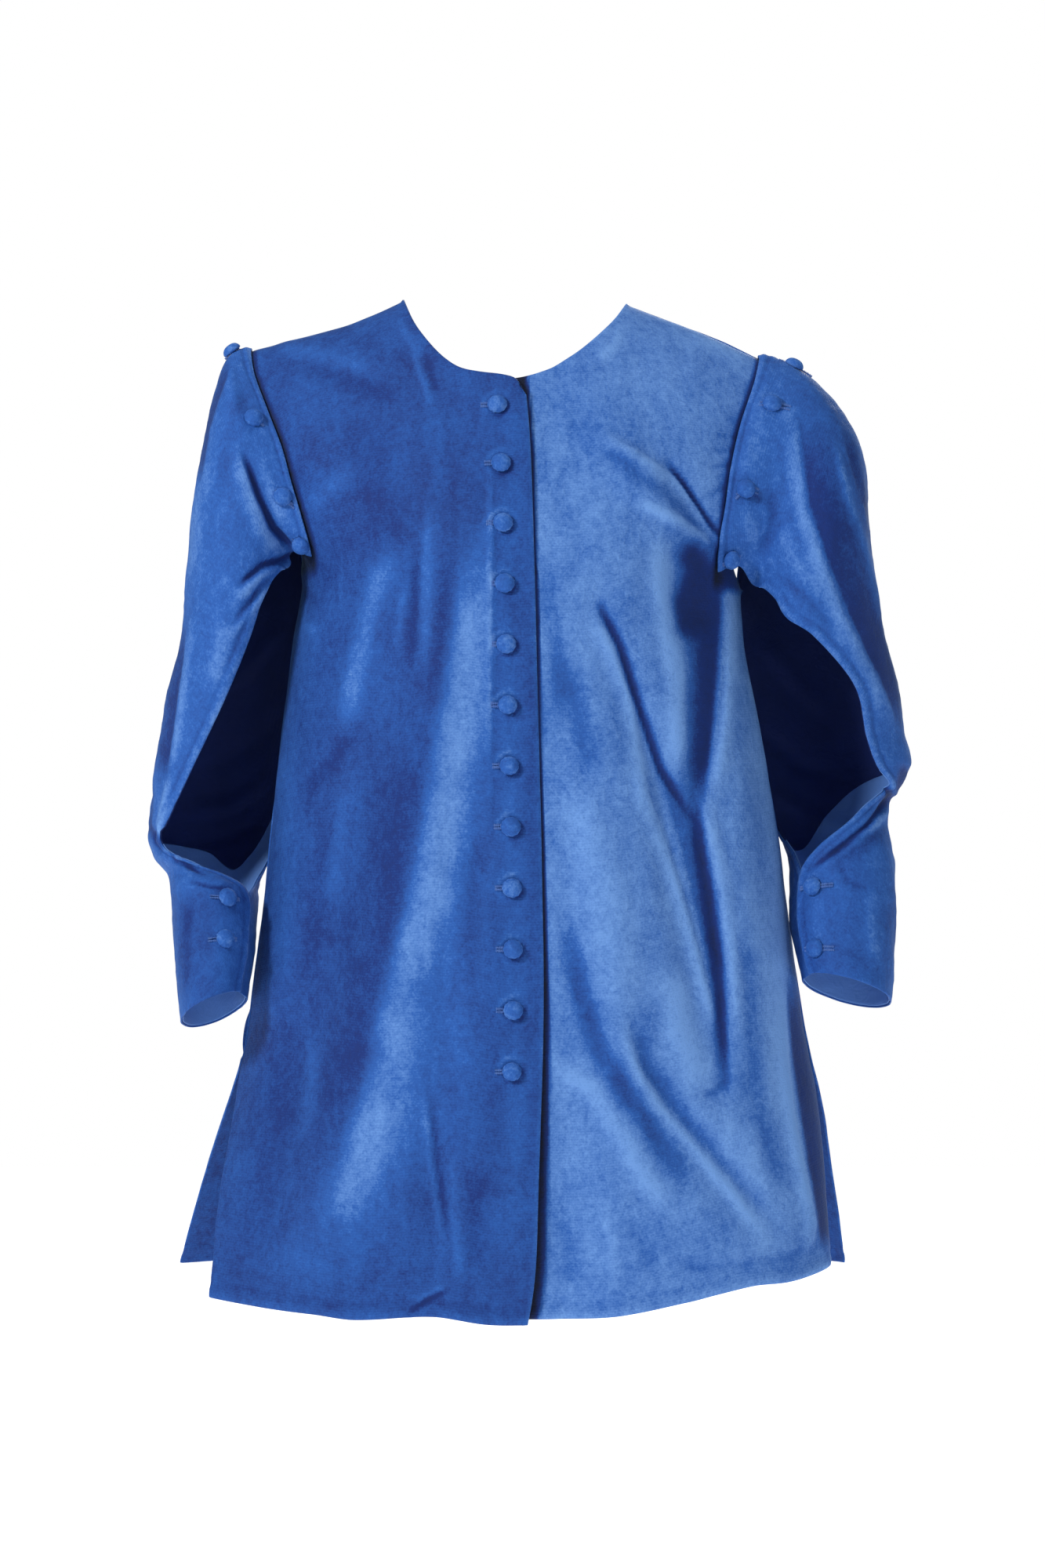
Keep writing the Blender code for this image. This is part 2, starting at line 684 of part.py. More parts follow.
def make_material(name, colour, roughness):
    material = bpy.data.materials.new(name)
    material.use_nodes = True
    shader = material.node_tree.nodes["Principled BSDF"]
    shader.inputs["Base Color"].default_value = colour
    shader.inputs["Roughness"].default_value = roughness
    shader.inputs["Metallic"].default_value = 0.0
    return material


def button_mesh(name, cloth, axis):
    """A covered button: a low dome whose base follows the cloth it is sewn to."""
    side = np.cross(axis, (0.0, 0.0, 1.0))
    side /= np.linalg.norm(side)
    up = np.cross(side, axis)
    radius = BUTTON_WIDTH / 2
    lifts = (BUTTON_LIFT, BUTTON_LIFT + 1.5, BUTTON_RISE * 0.82)
    mesh = bmesh.new()
    rings = []
    for reach, lift in zip((radius * 0.92, radius, radius * 0.74), lifts):
        ring = []
        for step in range(BUTTON_SIDES):
            angle = 2 * math.pi * step / BUTTON_SIDES
            spoke = (side * math.cos(angle) + up * math.sin(angle)) * reach
            at = cloth(spoke) if reach > radius * 0.8 else cloth(spoke * 0.0) + spoke
            ring.append(mesh.verts.new((at + axis * lift) * MM))
        rings.append(ring)
    base = mesh.verts.new((cloth(spoke * 0.0) + axis * BUTTON_LIFT) * MM)
    top = mesh.verts.new((cloth(spoke * 0.0) + axis * (BUTTON_RISE + BUTTON_LIFT)) * MM)
    for step in range(BUTTON_SIDES):
        after = (step + 1) % BUTTON_SIDES
        mesh.faces.new([rings[0][after], rings[0][step], base])
        for low, high in zip(rings, rings[1:]):
            mesh.faces.new([low[step], low[after], high[after], high[step]])
        mesh.faces.new([rings[-1][step], rings[-1][after], top])
    bmesh.ops.triangulate(mesh, faces=mesh.faces[:])
    if mesh.calc_volume(signed=True) < 0:
        bmesh.ops.reverse_faces(mesh, faces=mesh.faces[:])
    data = bpy.data.meshes.new(name)
    mesh.to_mesh(data)
    mesh.free()
    return data


def build_fronts(velvet_right, velvet_left):
    for side, material in ((RIGHT, velvet_right), (LEFT, velvet_left)):
        grid = half_panel(side, "front", *FRONT_GRID, lambda z, s=side: front_edge(s, z))
        normals = grid_normals(grid, lambda at: np.array((0.0, -1.0, 0.0)))
        mitre_seams(side, "front", grid, normals)
        name = "front_" + side.name
        add_object(name, wall_mesh(name, grid, normals, 0.0, BODY_WALL), material)


def build_back(velvet):
    columns, rows = BACK_GRID
    half = columns // 2
    right, left = (
        half_panel(side, "back", half, rows, lambda z: 0.0) for side in (RIGHT, LEFT)
    )
    centre = (right[:, :1] + left[:, :1]) / 2
    grid = np.concatenate((right[:, :0:-1], centre, left[:, 1:]), axis=1)
    normals = grid_normals(grid, lambda at: np.array((0.0, 1.0, 0.0)))
    mitre_seams(RIGHT, "back", grid[:, half::-1], normals[:, half::-1])
    mitre_seams(LEFT, "back", grid[:, half:], normals[:, half:])
    add_object("back", wall_mesh("back", grid, normals, 0.0, BODY_WALL), velvet)


def build_sleeve(side, velvet, navy, facing):
    """The sleeve's velvet, the lining under it and the facing that takes over near the cuff."""
    grid = sleeve_grid(side)
    normals = grid_normals(grid, lambda at: np.array((side.sign, 0.0, 0.0)))
    border = border_row(side)
    depth = SLEEVE_WALL + LAYER_GAP
    name = "sleeve_" + side.name
    add_object(name, wall_mesh(name, grid, normals, 0.0, SLEEVE_WALL), velvet)
    name = "sleeve_lining_" + side.name
    part = slice(LINING_FIRST_ROW, border + 1)
    add_object(name, wall_mesh(name, grid[part], normals[part], depth, LINING_WALL), navy)
    name = "cuff_facing_" + side.name
    rest = grid[border:].copy()
    rest[0] += (rest[1] - rest[0]) * FACING_SETBACK
    add_object(name, wall_mesh(name, rest, normals[border:], depth, LINING_WALL), facing)


def build_front_buttons(velvet):
    for number in range(FRONT_BUTTONS):
        z = FRONT_BUTTON_TOP - FRONT_BUTTON_PITCH * number
        out = BUTTON_FROM_EDGE + front_edge(RIGHT, z)

        def cloth(spoke, out=out, z=z):
            return body_point(RIGHT, "front", out - spoke[0], z + spoke[2])

        name = "button_front_%02d" % (number + 1)
        axis = body_normal(RIGHT, "front", out, z)
        add_object(name, button_mesh(name, cloth, axis), velvet)


def build_sleeve_buttons(side, velvet):
    for button in side.buttons:
        station = button.station
        across = station_across(side, button.turn, station)
        step = 0.03
        along = sleeve_point(side, across, station + step) - sleeve_point(side, across, station)
        around = sleeve_point(side, across + step, station) - sleeve_point(side, across, station)

        def cloth(spoke, across=across, station=station, along=along, around=around):
            shift = np.linalg.lstsq(np.array((around, along)).T, spoke, rcond=None)[0] * step
            return sleeve_point(side, across + shift[0], station + shift[1])

        name = "button_%s_%s" % (side.name, button.name)
        axis = sleeve_normal(side, across, station)
        add_object(name, button_mesh(name, cloth, axis), velvet)


def main():
    clear_scene()
    deep = make_material("velvet_deep_blue", BLUE_DEEP, 0.85)
    light = make_material("velvet_light_blue", BLUE_LIGHT, 0.85)
    facing = make_material("facing_blue", BLUE_FACING, 0.7)
    navy = make_material("lining_navy", NAVY, 0.6)
    build_fronts(deep, light)
    build_back(deep)
    for side in (RIGHT, LEFT):
        build_sleeve(side, deep, navy, facing)
        build_sleeve_buttons(side, light)
    build_front_buttons(light)


main()
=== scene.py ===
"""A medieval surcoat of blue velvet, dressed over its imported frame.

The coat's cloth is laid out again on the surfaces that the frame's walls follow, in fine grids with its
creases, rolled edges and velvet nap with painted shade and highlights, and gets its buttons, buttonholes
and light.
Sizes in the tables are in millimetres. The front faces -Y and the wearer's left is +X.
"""

import math
from collections import namedtuple

import bpy
import numpy as np
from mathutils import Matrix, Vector


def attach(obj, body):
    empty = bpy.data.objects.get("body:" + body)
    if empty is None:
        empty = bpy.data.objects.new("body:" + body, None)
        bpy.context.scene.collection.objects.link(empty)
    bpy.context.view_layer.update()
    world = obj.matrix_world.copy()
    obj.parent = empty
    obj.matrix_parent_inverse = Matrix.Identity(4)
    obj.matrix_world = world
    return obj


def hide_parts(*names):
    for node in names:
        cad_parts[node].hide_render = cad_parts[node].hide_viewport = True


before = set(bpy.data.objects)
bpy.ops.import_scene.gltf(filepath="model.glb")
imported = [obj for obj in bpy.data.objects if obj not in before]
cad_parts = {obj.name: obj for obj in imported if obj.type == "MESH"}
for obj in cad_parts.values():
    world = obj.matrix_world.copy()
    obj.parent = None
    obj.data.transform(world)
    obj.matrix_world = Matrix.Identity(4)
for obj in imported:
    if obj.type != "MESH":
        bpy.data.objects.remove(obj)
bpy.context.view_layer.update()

bl_info = {
    "name": "Velvet Surcoat",
    "version": (1, 0, 0),
    "blender": (4, 5, 0),
    "location": "View3D > Sidebar > Surcoat",
    "description": "Dresses a buttoned velvet surcoat around its frame",
    "category": "Object",
}

MM = 0.001

# Sizes that the frame's walls were made with
SHOULDER_SEAM_Y = 4.0
SHOULDER_ROUNDNESS = 1.8
UNDERLAP_REACH = 26.0
UNDERLAP_TOP = 2.9
UNDERLAP_HEM = 8.0
SLEEVE_EDGE_RISE = 1.8
SLEEVE_RISE = 4.2
ARMHOLE_PUFF = 11.0
CUFF_UNDER = 4.0
VENT_TOP = -575.0
COLUMN_TURN = 80.0
HEM_BACK = -748.0
SEAM_GAP = 0.3
LINING_START = 1.5
NECK_SPREAD = 1.25
UNDERARM_UP = 0.72
FOLD_ENDS = (0.04, 0.96)
FOLDS_CLEAR_OF_BUTTONS = (28, 62)
FOLDS_CLEAR_OF_SEAM = (1.0, 0.86)
UNDERLAP_DEEPENS = (-420, -740)
UNDERLAP_ENDS = (86, 34)
TIP_TURNS = (5, 45)
CUFF_UNDER_TURNS = (160, 192)
FRONT_BUTTONS = 12
FRONT_BUTTON_TOP = -65.0
FRONT_BUTTON_PITCH = 46.2
BUTTON_FROM_EDGE = 22.5

# Sizes and tones of the finer work
NORMAL_STEP = 3.0
EDGE_ROLL = 0.35
RIM_TONE = 0.06
INSIDE_TONE = -0.2
CLOSURE_SHADE = 1.7
SLEEVE_SHADE = 1.1
SLEEVE_SHADE_BEHIND = 0.7
DIMPLE_DEPTH = 1.3
DIMPLE_REACH = 9.0
# Where the scuffed rim round a button lies, with its painted highlight and shade
SCUFF_AND_SHADE_AT = 10.5
BUTTON_SHADE_AT = 8.4
INNER_WALL = 0.7
INNER_GAP = 0.35
INNER_GRID = (64, 110)
# The darkest painted shade, for the velvet's deepest troughs and shadows
DARKEST_PAINTED_SHADE = (0.001, 0.004, 0.020, 1.0)
FLOOR_HALF = 4.0
FLOOR_Z = -1.15


def table(kind, *rows):
    return tuple(kind(*row) for row in rows)


# The body's cross-section, a row for each level: half widths of the front at its side edge and of
# the back, depths on the centre line, depths of the side edges, and how far round each front turns
Level = namedtuple(
    "Level",
    "z right left right_back left_back front back right_y left_y back_y right_roll left_roll",
)
LEVELS = table(
    Level,
    (60, 250, 238, 250, 238, -106, 92, 0, 0, 0, 84, 85),
    (-12, 246, 234, 246, 234, -108, 98, 0, 0, 0, 84, 85),
    (-60, 238, 224, 238, 224, -112, 102, 0, 0, 0, 84, 85),
    (-110, 216, 209, 216, 209, -116, 104, 0, 0, 0, 84, 85),
    (-150, 194, 197, 194, 197, -118, 105, 0, 0, 0, 83, 85),
    (-190, 171, 183, 171, 183, -120, 105, 0, 0, 0, 82, 85),
    (-243, 177, 184.5, 177, 184.5, -122, 104, 0, 0, 0, 80, 86),
    (-300, 184, 194, 184, 194, -124, 104, 0, 0, 0, 77, 86),
    (-356, 190, 204.5, 190, 204.5, -126, 106, 0, 0, 0, 74, 86),
    (-412, 196, 214, 196, 214, -128, 108, 0, 0, 0, 72, 86),
    (-462, 201, 220, 201, 220, -130, 110, 0, 0, 0, 70, 86),
    (-517, 208.6, 228, 208.6, 228, -131, 112, 0, 0, 0, 68, 86),
    (-575, 216.5, 238, 216.5, 238, -132, 114, 0, 0, 0, 66, 86),
    (-610, 221, 243, 229, 247, -133, 116, -16, -8, 12, 65, 86),
    (-660, 228, 247, 247, 257, -134, 118, -42, -22, 40, 64, 86),
    (-700, 232, 249, 260, 264, -134, 119, -58, -32, 56, 64, 86),
    (-745, 235, 249, 273, 271, -134, 120, -74, -40, 72, 64, 86),
    (-775, 237, 249, 280, 275, -134, 120, -80, -42, 76, 64, 86),
)

# Outlines seen from the front: distance out from the centre line and height
Point = namedtuple("Point", "out z")
NECKLINE_RIGHT = table(
    Point,
    (-8.0, -55.0), (-3.0, -45.0), (6.0, -41.0), (33.0, -36.5), (45.0, -32.0), (57.5, -22.0),
    (70.0, -7.0), (80.0, 9.0), (88.6, 30.0),
)
NECKLINE_LEFT = table(
    Point,
    (-26.0, -43.0), (0.0, -43.0), (27.5, -35.0), (42.0, -26.0), (55.0, -16.0), (70.7, -1.0),
    (81.0, 11.0), (90.8, 27.0),
)
NECKLINE_BACK = table(
    Point,
    (0.0, -31.0), (40.0, -24.0), (60.0, -12.0), (76.0, 6.0), (85.0, 19.0), (90.0, 28.0),
)
SHOULDER_RIGHT = table(
    Point,
    (0.0, 72.0), (60.0, 45.0), (88.6, 30.0), (134.0, 10.5), (172.0, 0.5), (206.0, -9.0),
    (219.0, -13.0), (240.0, -20.0),
)
SHOULDER_LEFT = table(
    Point,
    (0.0, 68.0), (60.0, 42.0), (90.8, 27.0), (153.0, 3.4), (194.0, -15.0), (207.0, -20.0),
    (235.0, -30.0),
)
HEM_RIGHT = table(
    Point,
    (-25.0, -764.0), (16.0, -764.0), (60.0, -758.5), (120.0, -762.0), (150.0, -759.0),
    (190.0, -756.0), (240.0, -752.0),
)
HEM_LEFT = table(
    Point,
    (-30.0, -760.0), (20.0, -761.0), (75.0, -759.0), (130.0, -750.0), (183.0, -740.0),
    (215.0, -739.0), (250.0, -733.0),
)

# How far past the centre line the wearer's right front reaches at each height
EdgeRow = namedtuple("EdgeRow", "z past")
FRONT_EDGE = table(
    EdgeRow,
    (-40, 8.0), (-93, 12.4), (-177, 15.3), (-297, 18.3), (-415, 21.2), (-533, 22.4), (-652, 18.8),
    (-727, 16.0), (-780, 8.0),
)

# Armholes: how far out the body's edge lies in front and behind, and the sleeve's edge over it
ArmholeRow = namedtuple("ArmholeRow", "z front back sleeve")
ARMHOLE_RIGHT = table(
    ArmholeRow,
    (-190, 171.0, 171.0, 157.0), (-175, 169.0, 171.0, 157.5), (-150, 175.0, 179.0, 163.5),
    (-121, 185.0, 190.0, 172.0), (-93, 193.0, 198.0, 180.0), (-63, 204.0, 207.0, 192.0),
    (-33, 214.0, 214.5, 204.0), (-13, 219.0, 219.0, 209.0),
)
ARMHOLE_LEFT = table(
    ArmholeRow,
    (-203, 182.5, 182.5, 160.0), (-186, 174.0, 177.0, 160.0), (-161, 175.0, 179.0, 162.0),
    (-138, 177.0, 182.0, 164.5), (-109, 182.0, 188.0, 168.5), (-74, 190.0, 195.0, 177.0),
    (-40, 201.0, 203.0, 189.0), (-20, 207.0, 207.0, 195.0),
)

# Sleeve rings from the shoulder to the hem, as ovals through outer, inner, front and back points
Ring = namedtuple("Ring", "out z_out inner z_in tuck front back lift open shut")
SLEEVE_RIGHT = table(
    Ring,
    (233, -25, 172, -197, 160, -60, 62, 0, 148, -128),
    (245, -68, 175, -208, 158, -65, 68, 0, 138, -142),
    (256, -138, 178, -226, 157, -64, 72, 0, 126, -145),
    (265, -228, 181, -252, 157, -57, 76, 0, 113, -143),
    (280, -293, 185, -300, 162, -48, 80, 0, 94, -140),
    (290, -350, 191, -352, 169, -38, 80, 0, 71, -141),
    (293, -384, 198, -386, 177, -34, 74, 0, 54, -143),
    (293, -402, 205, -405, 184, -32, 70, 0, 43, -148),
    (287, -417, 208, -421, 196, -34, 64, 3, 74, -160),
    (276, -430, 206, -436, 203, -40, 56, 6, 122, -180),
    (273, -444, 203, -449, 203, -50, 44, 8, 148, -204),
    (268, -490, 204, -484, 204, -64, 24, 10, 152, -222),
    (262, -544, 209, -522, 209, -76, 8, 12, 152, -222),
)
SLEEVE_LEFT = table(
    Ring,
    (240, -34, 184, -212, 172, -56, 62, 0, 148, -138),
    (266, -66, 187, -222, 170, -64, 68, 0, 139, -147),
    (281, -104, 189, -234, 169, -67, 72, 0, 131, -147),
    (285, -165, 190, -246, 168, -66, 76, 0, 121, -145),
    (293, -215, 191, -262, 169, -60, 79, 0, 98, -140),
    (308, -275, 196, -287, 174, -50, 81, 0, 74, -140),
    (314, -316, 202, -320, 181, -42, 78, 0, 70, -141),
    (319, -339, 207, -344, 188, -38, 74, 0, 66, -144),
    (314, -356, 211, -364, 196, -36, 68, 0, 48, -150),
    (302, -371, 214, -384, 205, -37, 62, 3, 62, -162),
    (299, -386, 216, -398, 212, -40, 56, 5, 84, -175),
    (301, -404, 218, -412, 217, -46, 46, 7, 118, -190),
    (303, -430, 218, -432, 218, -54, 34, 8, 148, -210),
    (302, -470, 218, -468, 218, -64, 18, 10, 154, -222),
    (297, -528, 226, -508, 226, -76, 4, 12, 154, -222),
)
HEAD_EDGE = (166, -126)
HEAD_ARMHOLE = (143, -117)

# Large folds, as in the frame's walls: a crest or bottom through three points, its width, and its
# rise (a trough's is below zero)
Fold = namedtuple("Fold", "x_top z_top x_mid z_mid x_low z_low width rise")
FOLDS_RIGHT = table(
    Fold,
    (-34, -180, -78, -420, -168, -748, 26, 8), (-108, -260, -142, -480, -208, -720, 26, -6),
    (-30, -430, -48, -600, -66, -750, 20, -5), (-104, -205, -122, -270, -150, -345, 13, 3),
    (-160, -420, -186, -560, -214, -700, 16, 4),
)
FOLDS_LEFT = table(
    Fold,
    (110, -104, 136, -132, 158, -176, 13, -6), (78, -100, 116, -142, 142, -200, 16, 5),
    (118, -160, 138, -206, 148, -256, 20, -7), (64, -222, 112, -350, 156, -590, 16, -7),
    (154, -240, 144, -370, 160, -560, 14, -4), (172, -270, 178, -400, 194, -620, 18, 5),
    (92, -520, 128, -620, 190, -690, 20, -5), (48, -330, 78, -500, 104, -640, 20, 4),
)
FOLDS_BACK = table(
    Fold,
    (40, -60, 20, -300, 52, -745, 24, 6), (-46, -80, -62, -320, -96, -740, 24, 6),
    (-8, -200, -14, -420, -24, -740, 22, -6), (104, -180, 126, -400, 168, -735, 22, -6),
    (-110, -210, -136, -420, -176, -735, 22, -6), (150, -260, 172, -450, 214, -730, 18, 5),
    (-150, -240, -180, -470, -218, -730, 18, 5),
)

# Finer creases and the lie of the nap, drawn on the plane of the shoulders as the camera sees it:
# a line downwards, how far it fades to the drawing's left and right, its rise, and how much lighter
# the cloth is painted along it (below zero is darker): painted highlight on crests and painted shade
# in troughs and under edges, with some crushed nap
Crease = namedtuple("Crease", "line left right rise tone")
DRAWN_RIGHT = table(
    Crease,
    (((-26, -155), (-40, -268), (-54, -362), (-71, -450), (-96, -541)), 14, 21, 1.6, 0.50),
    (((-91, -515), (-103, -586), (-121, -653), (-145, -708)), 15, 24, 1.6, 0.42),
    (((-106, -600), (-126, -660), (-156, -720), (-176, -760)), 30, 34, 0.0, 0.10),
    (((-66, -270), (-82, -380), (-98, -460), (-122, -560), (-152, -668)), 22, 9, -1.0, -0.16),
    (((-99, -172), (-111, -208), (-122, -251), (-134, -312)), 10, 9, 1.0, 0.36),
    (((-125, -312), (-150, -345), (-166, -360)), 7, 6, -0.7, -0.14),
    (((-88, -200), (-91, -226), (-94, -250)), 3, 4, 0.5, 0.18),
    (((-68, -140), (-70, -190), (-72, -262)), 4, 6, 0.8, 0.26),
    (((-77, -172), (-79, -210), (-82, -262)), 5, 3, -0.8, -0.22),
    (((-50, -170), (-56, -230), (-64, -290)), 8, 6, -0.6, -0.16),
    (((-179, -330), (-181, -400), (-184, -500)), 8, 10, 0.8, 0.14),
    (((-150, -380), (-158, -450), (-166, -520)), 8, 8, -0.6, -0.12),
    (((-132, -340), (-138, -400), (-146, -450)), 7, 8, 0.3, 0.10),
    (((-158, -560), (-161, -590), (-168, -640)), 7, 7, 0.8, 0.20),
    (((-186, -540), (-192, -640), (-206, -740)), 18, 16, -0.6, -0.12),
    (((-26, -395), (-33, -450), (-36, -520)), 9, 7, -0.6, -0.16),
    (((-28, -660), (-30, -700), (-30, -745)), 9, 9, -0.8, -0.14),
    (((-72, -600), (-66, -660), (-58, -718)), 2.5, 4, 1.2, 0.22),
    (((-66, -610), (-61, -665), (-53, -720)), 2, 3, -1.2, -0.24),
    (((-50, -650), (-48, -700), (-44, -750)), 3, 6, 0.8, 0.16),
    (((-54, -760), (-68, -767), (-84, -777)), 1.8, 2.4, -1.4, -0.40),
    (((-50, -754), (-66, -761), (-82, -770)), 3, 2, 0.8, 0.20),
    (((-120, -60), (-112, -120), (-96, -176)), 26, 24, -0.8, -0.12),
    (((-128, -106), (-146, -120), (-160, -136)), 7, 6, 0.7, 0.18),
    (((-80, -12), (-74, -30), (-66, -54)), 2.5, 3, 0.8, 0.24),
    (((-70, -14), (-66, -28), (-60, -44)), 2.5, 2.5, -0.7, -0.16),
    (((-170, -22), (-130, -34), (-90, -52)), 9, 9, -0.5, -0.14),
    (((-190, -6), (-150, -16), (-110, -26)), 7, 6, 0.6, 0.20),
    (((-92, 14), (-84, 0), (-76, -14)), 4, 5, 0.6, 0.18),
    (((-163, -226), (-162, -231), (-160, -237)), 5, 5, 0.3, 0.24),
    (((-176, -160), (-168, -200), (-160, -214)), 4, 5, -0.7, -0.18),
    (((-17.5, -100), (-18, -220), (-19, -330)), 4, 1.5, 0.9, 0.20),
    (((-14.5, -150), (-15, -260), (-16, -400)), 1.5, 5, -0.6, -0.14),
    (((-2, -300), (3, -520), (0, -760)), 10, 8, 0.2, 0.10),
    (((-14, -230), (-30, -400), (-60, -560), (-96, -700)), 26, 26, 0.0, 0.16),
    (((-100, -330), (-128, -480), (-176, -660)), 20, 26, 0.0, -0.06),
)
DRAWN_LEFT = table(
    Crease,
    (((72, -78), (96, -92), (128, -114), (139, -130), (162, -158)), 6, 3, 2.6, 0.28),
    (((122, -100), (135, -116), (145, -131), (155, -146), (165, -159)), 2, 2.6, -2.6, -0.95),
    (((92, -106), (126, -126), (152, -153)), 5, 5, -1.4, -0.16),
    (((98, -130), (123, -141), (138, -150), (152, -161), (160, -181)), 5, 3.5, 2.6, 0.36),
    (((140, -160), (148, -187), (139, -212), (143, -244)), 13, 16, -3.0, -0.95),
    (((68, -88), (84, -99), (104, -108)), 5, 6, -0.8, -0.18),
    (((112, -150), (118, -190), (123, -227), (129, -262), (131, -305), (137, -360)), 9, 8, 1.8, 0.34),
    (((165, -190), (163, -235), (159, -280), (156, -320), (149, -376)), 16, 3, -3.2, -0.90),
    (((172, -196), (172, -250), (168, -310), (160, -362)), 3, 7, 1.8, 0.26),
    (((67, -212), (76, -229), (85, -247), (97, -286), (117, -345), (142, -383)), 2.5, 4, -3.0, -1.00),
    (((64, -222), (78, -250), (92, -292), (104, -362), (127, -428)), 7, 3, 2.4, 0.30),
    (((118, -400), (139, -467), (150, -510), (160, -544)), 7, 2.5, 2.4, 0.30),
    (((122, -352), (136, -400), (146, -440), (156, -480), (162, -520)), 4, 12, -1.6, -0.34),
    (((147, -372), (151, -405), (158, -445), (165, -496), (168, -545), (171, -598)), 7, 2.2, -3.4, -0.95),
    (((150, -366), (158, -405), (166, -446), (173, -500), (178, -560)), 2.5, 8, 2.2, 0.28),
    (((172, -590), (164, -600), (150, -606)), 4, 3, -1.2, -0.24),
    (((180, -462), (190, -520), (194, -600), (206, -650), (218, -686)), 9, 10, -1.0, -0.30),
    (((190, -262), (201, -354), (212, -440), (217, -520)), 8, 3, 1.4, 0.20),
    (((213, -520), (216, -580), (222, -627), (231, -672), (238, -706), (235, -728)), 6, 3, 2.4, 0.26),
    (((219, -500), (227, -580), (236, -640), (246, -700), (249, -726)), 4, 22, -1.6, -0.90),
    (((42, -462), (54, -520), (70, -570), (90, -601), (108, -626), (140, -680)), 10, 8, -2.2, -0.48),
    (((92, -540), (105, -580), (122, -606), (147, -636), (176, -670), (208, -708)), 3, 9, -2.2, -0.34),
    (((84, -548), (98, -584), (115, -612), (141, -642), (173, -680), (201, -718)), 5, 3, 1.8, 0.24),
    (((124, -500), (136, -552), (150, -598)), 14, 12, 1.4, 0.28),
    (((30, -576), (62, -600), (85, -636), (104, -668), (126, -700)), 8, 8, 1.6, 0.26),
    (((48, -330), (66, -420), (85, -500), (96, -540)), 20, 20, 1.2, 0.18),
    (((40, -250), (56, -320), (62, -380)), 9, 9, -0.8, -0.18),
    (((26, -180), (33, -250), (40, -300)), 7, 8, -0.5, -0.16),
    (((120, -740), (180, -742), (246, -728)), 4, 7, -0.8, -0.14),
    (((36, -700), (44, -730), (50, -758)), 9, 9, -0.6, -0.18),
    (((92, -700), (104, -724), (110, -744)), 8, 8, -0.5, -0.14),
    (((70, -690), (78, -720), (82, -756)), 4, 5, 0.6, 0.14),
    (((178, -80), (172, -79), (160, -77)), 2.0, 2.0, -0.5, -0.14),
    (((176, -91), (170, -90), (158, -90)), 2.0, 2.0, -0.5, -0.14),
    (((173, -102), (167, -102), (156, -104)), 2.2, 2.2, -0.5, -0.16),
    (((170, -120), (164, -121), (154, -125)), 2.2, 2.2, -0.5, -0.16),
    (((86, 8), (80, -6), (66, -18)), 4, 5, 0.5, 0.16),
    (((150, -2), (168, -10), (186, -18)), 5, 5, 0.4, 0.14),
    (((40, -60), (70, -80), (110, -96)), 18, 20, 0.0, -0.10),
    (((196, -420), (212, -560), (216, -690)), 22, 18, 0.0, 0.20),
    (((150, -600), (190, -690), (214, -736)), 24, 24, 0.0, 0.16),
)
DRAWN_BACK = table(
    Crease,
    (((40, -80), (24, -300), (44, -735)), 26, 16, 2.2, 0.18),
    (((-60, -90), (-72, -320), (-98, -735)), 19, 26, 2.2, 0.18),
    (((4, -180), (-6, -430), (-16, -735)), 14, 19, -2.6, -0.23),
    (((-36, -240), (-44, -440), (-62, -735)), 13, 11, -2.2, -0.19),
    (((72, -150), (80, -400), (104, -735)), 11, 16, -2.4, -0.22),
    (((70, -104), (86, -170), (94, -246)), 6, 10, -2.6, -0.23),
    (((-78, -116), (-94, -176), (-100, -252)), 10, 6, -2.6, -0.23),
    (((130, -116), (142, -180), (148, -264)), 10, 8, 2.6, 0.16),
    (((-134, -112), (-142, -190), (-148, -262)), 8, 10, 2.6, 0.16),
    (((112, -260), (136, -420), (176, -735)), 14, 19, -2.4, -0.20),
    (((-116, -260), (-142, -420), (-182, -735)), 19, 14, -2.4, -0.20),
    (((168, -300), (190, -520), (224, -735)), 13, 16, 2.4, 0.15),
    (((-164, -300), (-190, -520), (-226, -735)), 16, 13, 2.4, 0.15),
    (((156, -196), (120, -206), (86, -226)), 6, 8, -1.8, -0.15),
    (((-154, -190), (-120, -204), (-84, -232)), 6, 8, -1.8, -0.15),
    (((160, -40), (110, -62), (60, -70)), 10, 13, -1.2, -0.12),
    (((-160, -36), (-110, -60), (-60, -68)), 13, 10, -1.2, -0.12),
    (((140, -460), (128, -560), (134, -660)), 5, 6, -1.8, -0.20),
    (((-110, -470), (-120, -580), (-118, -680)), 6, 5, -1.8, -0.20),
)

